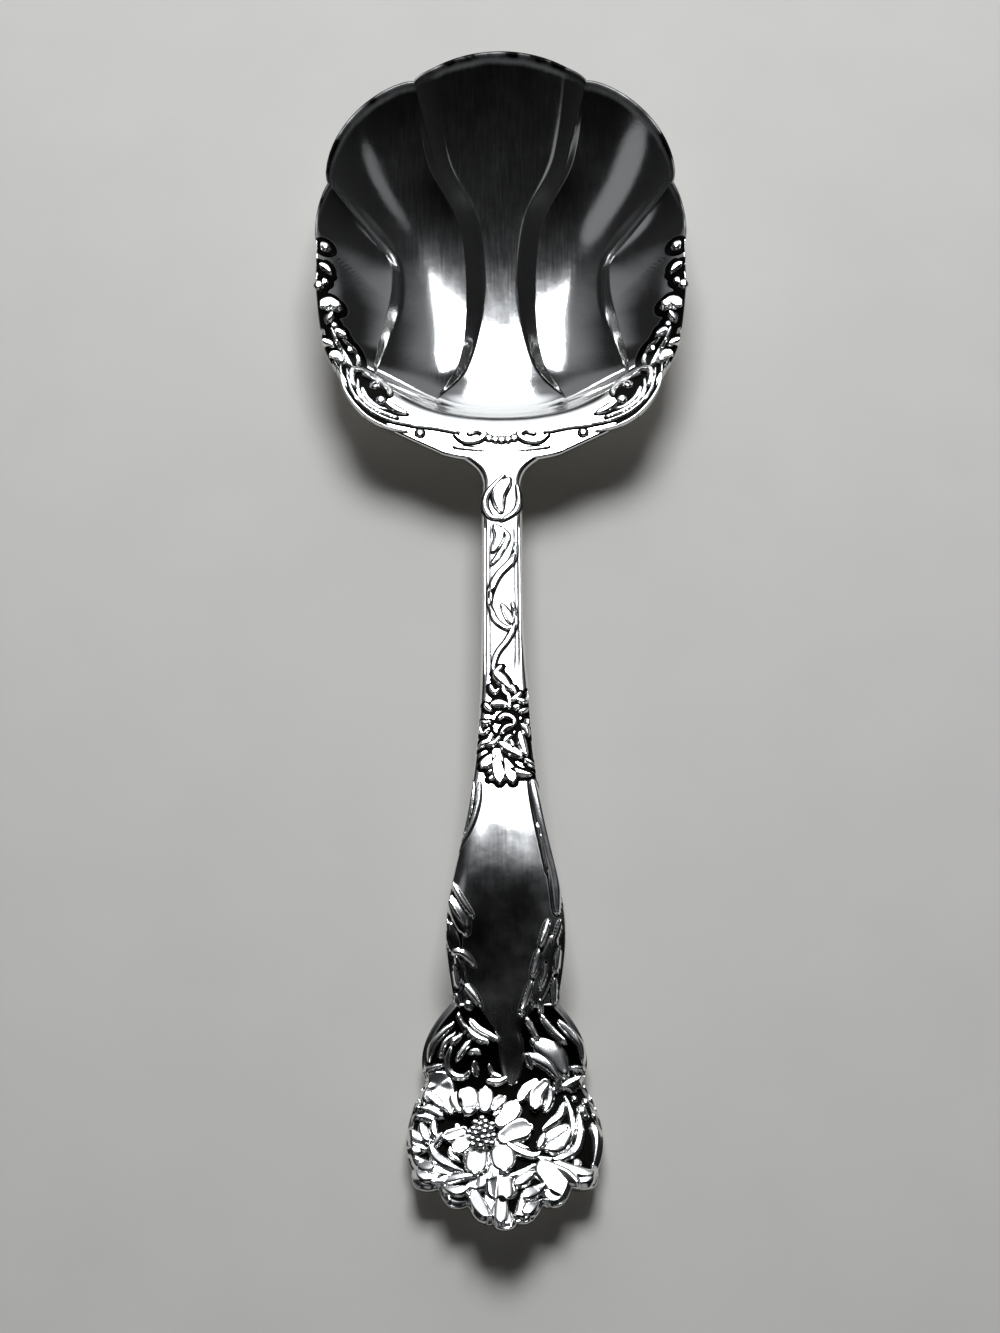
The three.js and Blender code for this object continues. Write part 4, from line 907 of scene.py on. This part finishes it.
# half-open bud with its stalk and one leaf
budTwig = dict(
    middle=(5.8, -90.6), reach=(4.6, 5.4),
    fold=((18, 8, 8, 73, -880, 72, -900, 65, -918),),
    leaf=((18, 11, 11, 94, -906, 88, -926, 72, -940, 60, -951),),
    petal=((20, 10, 13, 49, -870, 34, -883, 23, -902), (26, 10, 17, 65, -872, 51, -890, 48, -916)))


# Bud: an oval disc of relief beside the blossom.
def buildBud():
    return [reliefDisc(budTwig["middle"], ovalEdge(budTwig, 300), plateTop, marksOf(budTwig),
                       rings=70, sink=0.2, depth=1.2)]


makePiece("bud_spray", buildBud(), foliageSilver, "bud_spray")

stage = dict(size=8.0, colour="#CAC7C0", shade="#C2BFB8", mottle=0.02, light="#F6F9FF", softboxWidth=0.42,
             softboxHeight=0.36, softboxFar=0.85, softboxRise=56.0, softboxSide=0.02, softboxPower=6.8,
             glowRise=33.0, behind=0.002, before=0.016)


# painted tabletop: a matt pale coat, faintly mottled
def buildFloor():
    half = stage["size"] / 2
    mesh = bpy.data.meshes.new("tabletop")
    corners = [(-half, -half, 0), (half, -half, 0), (half, half, 0), (-half, half, 0)]
    mesh.from_pydata(corners, [], [(0, 1, 2, 3)])
    floor = addObject("tabletop", mesh)
    paint = blankMaterial("mattPaint")
    tree = paint.node_tree
    place = put(tree, "TexCoord").outputs["Object"]
    mottle = put(tree, "TexNoise", {"Vector": place, "Scale": 1 / stage["mottle"], "Detail": 6.0})
    colour = mixColours(tree, mottle, stage["colour"], stage["shade"])
    coat = put(tree, "BsdfPrincipled", {"Base Color": colour, "Roughness": 0.65})
    put(tree, "OutputMaterial", {"Surface": coat})
    mesh.materials.append(paint)


# soft lamp beyond the bowl's tip, which the camera doesn't see
def buildSoftbox():
    rise = math.radians(stage["softboxRise"])
    towards = Vector((stage["softboxSide"], math.cos(rise), math.sin(rise))).normalized()
    lamp = bpy.data.lights.new("softbox", "AREA")
    lamp.shape = "RECTANGLE"
    lamp.size = stage["softboxWidth"]
    lamp.size_y = stage["softboxHeight"]
    lamp.energy = stage["softboxPower"]
    lamp.color = linear(stage["light"])[:3]
    box = addObject("softbox", lamp)
    box.location = towards * stage["softboxFar"]
    box.rotation_euler = towards.to_track_quat("Z", "Y").to_euler()
    box.visible_camera = False


# Room: dark behind the viewer and dim ahead, with soft round patches of light. Each patch is a direction,
# the cosines where it starts and where it is full, and its strength.
def buildRoom():
    rise = math.radians(stage["glowRise"])
    ahead = (0.0, math.cos(rise), math.sin(rise))
    glow, wall = (ahead, 0.89, 0.97, 1.0), (ahead, 0.68, 0.84, 0.18)
    leftCard, rightCard = ((-0.45, 0.06, 0.89), 0.984, 0.993, 0.2), ((0.45, 0.06, 0.89), 0.995, 0.998, 0.14)
    backWall = ((0.0, -0.87, 0.5), 0.86, 0.96, 0.28)
    world = bpy.data.worlds.new("studio")
    scene.world = world
    world.use_nodes = True
    tree = world.node_tree
    tree.nodes.clear()
    look = put(tree, "TexCoord").outputs["Generated"]
    forward = put(tree, "SeparateXYZ", {"Vector": look}).outputs["Y"]
    total = put(tree, "MapRange", {"Value": forward, "From Min": -0.2, "From Max": 0.4,
                                   "To Min": stage["behind"], "To Max": stage["before"]})
    for towards, outside, inside, strength in (glow, wall, leftCard, rightCard, backWall):
        facing = put(tree, "VectorMath", {0: look, 1: towards}, operation="DOT_PRODUCT").outputs["Value"]
        patch = put(tree, "MapRange", {"Value": facing, "From Min": outside, "From Max": inside,
                                       "To Min": 0.0, "To Max": strength}, interpolation_type="SMOOTHSTEP")
        total = put(tree, "Math", {0: total, 1: patch}, operation="ADD")
    sky = put(tree, "Background", {"Color": linear(stage["light"]), "Strength": total})
    put(tree, "OutputWorld", {"Surface": sky})


# photograph's view: 62 degrees down along the spoon, frame 1000 by 1333
view = dict(rise=62.0, far=0.4927, focal=2820.0, frame=(1000, 1333), target=(-0.00046, -0.00929, 0.0),
            roll=-0.24)


def buildCamera():
    rise = math.radians(view["rise"])
    back = Vector((0.0, -math.cos(rise), math.sin(rise)))
    lens = bpy.data.cameras.new("camera")
    lens.sensor_width = 36.0
    lens.lens = lens.sensor_width * view["focal"] / max(view["frame"])
    lens.clip_start = 0.01
    lens.clip_end = 100.0
    camera = addObject("camera", lens)
    roll = Matrix.Rotation(math.radians(view["roll"]), 3, "Z")
    turn = (-back).to_track_quat("-Z", "Y").to_matrix() @ roll
    camera.matrix_world = Matrix.Translation(Vector(view["target"]) + back * view["far"]) @ turn.to_4x4()
    bpy.context.scene.camera = camera


buildFloor()
buildSoftbox()
buildRoom()
buildCamera()
bpy.context.scene.view_settings.view_transform = "Standard"
print("floor, light and camera ready")
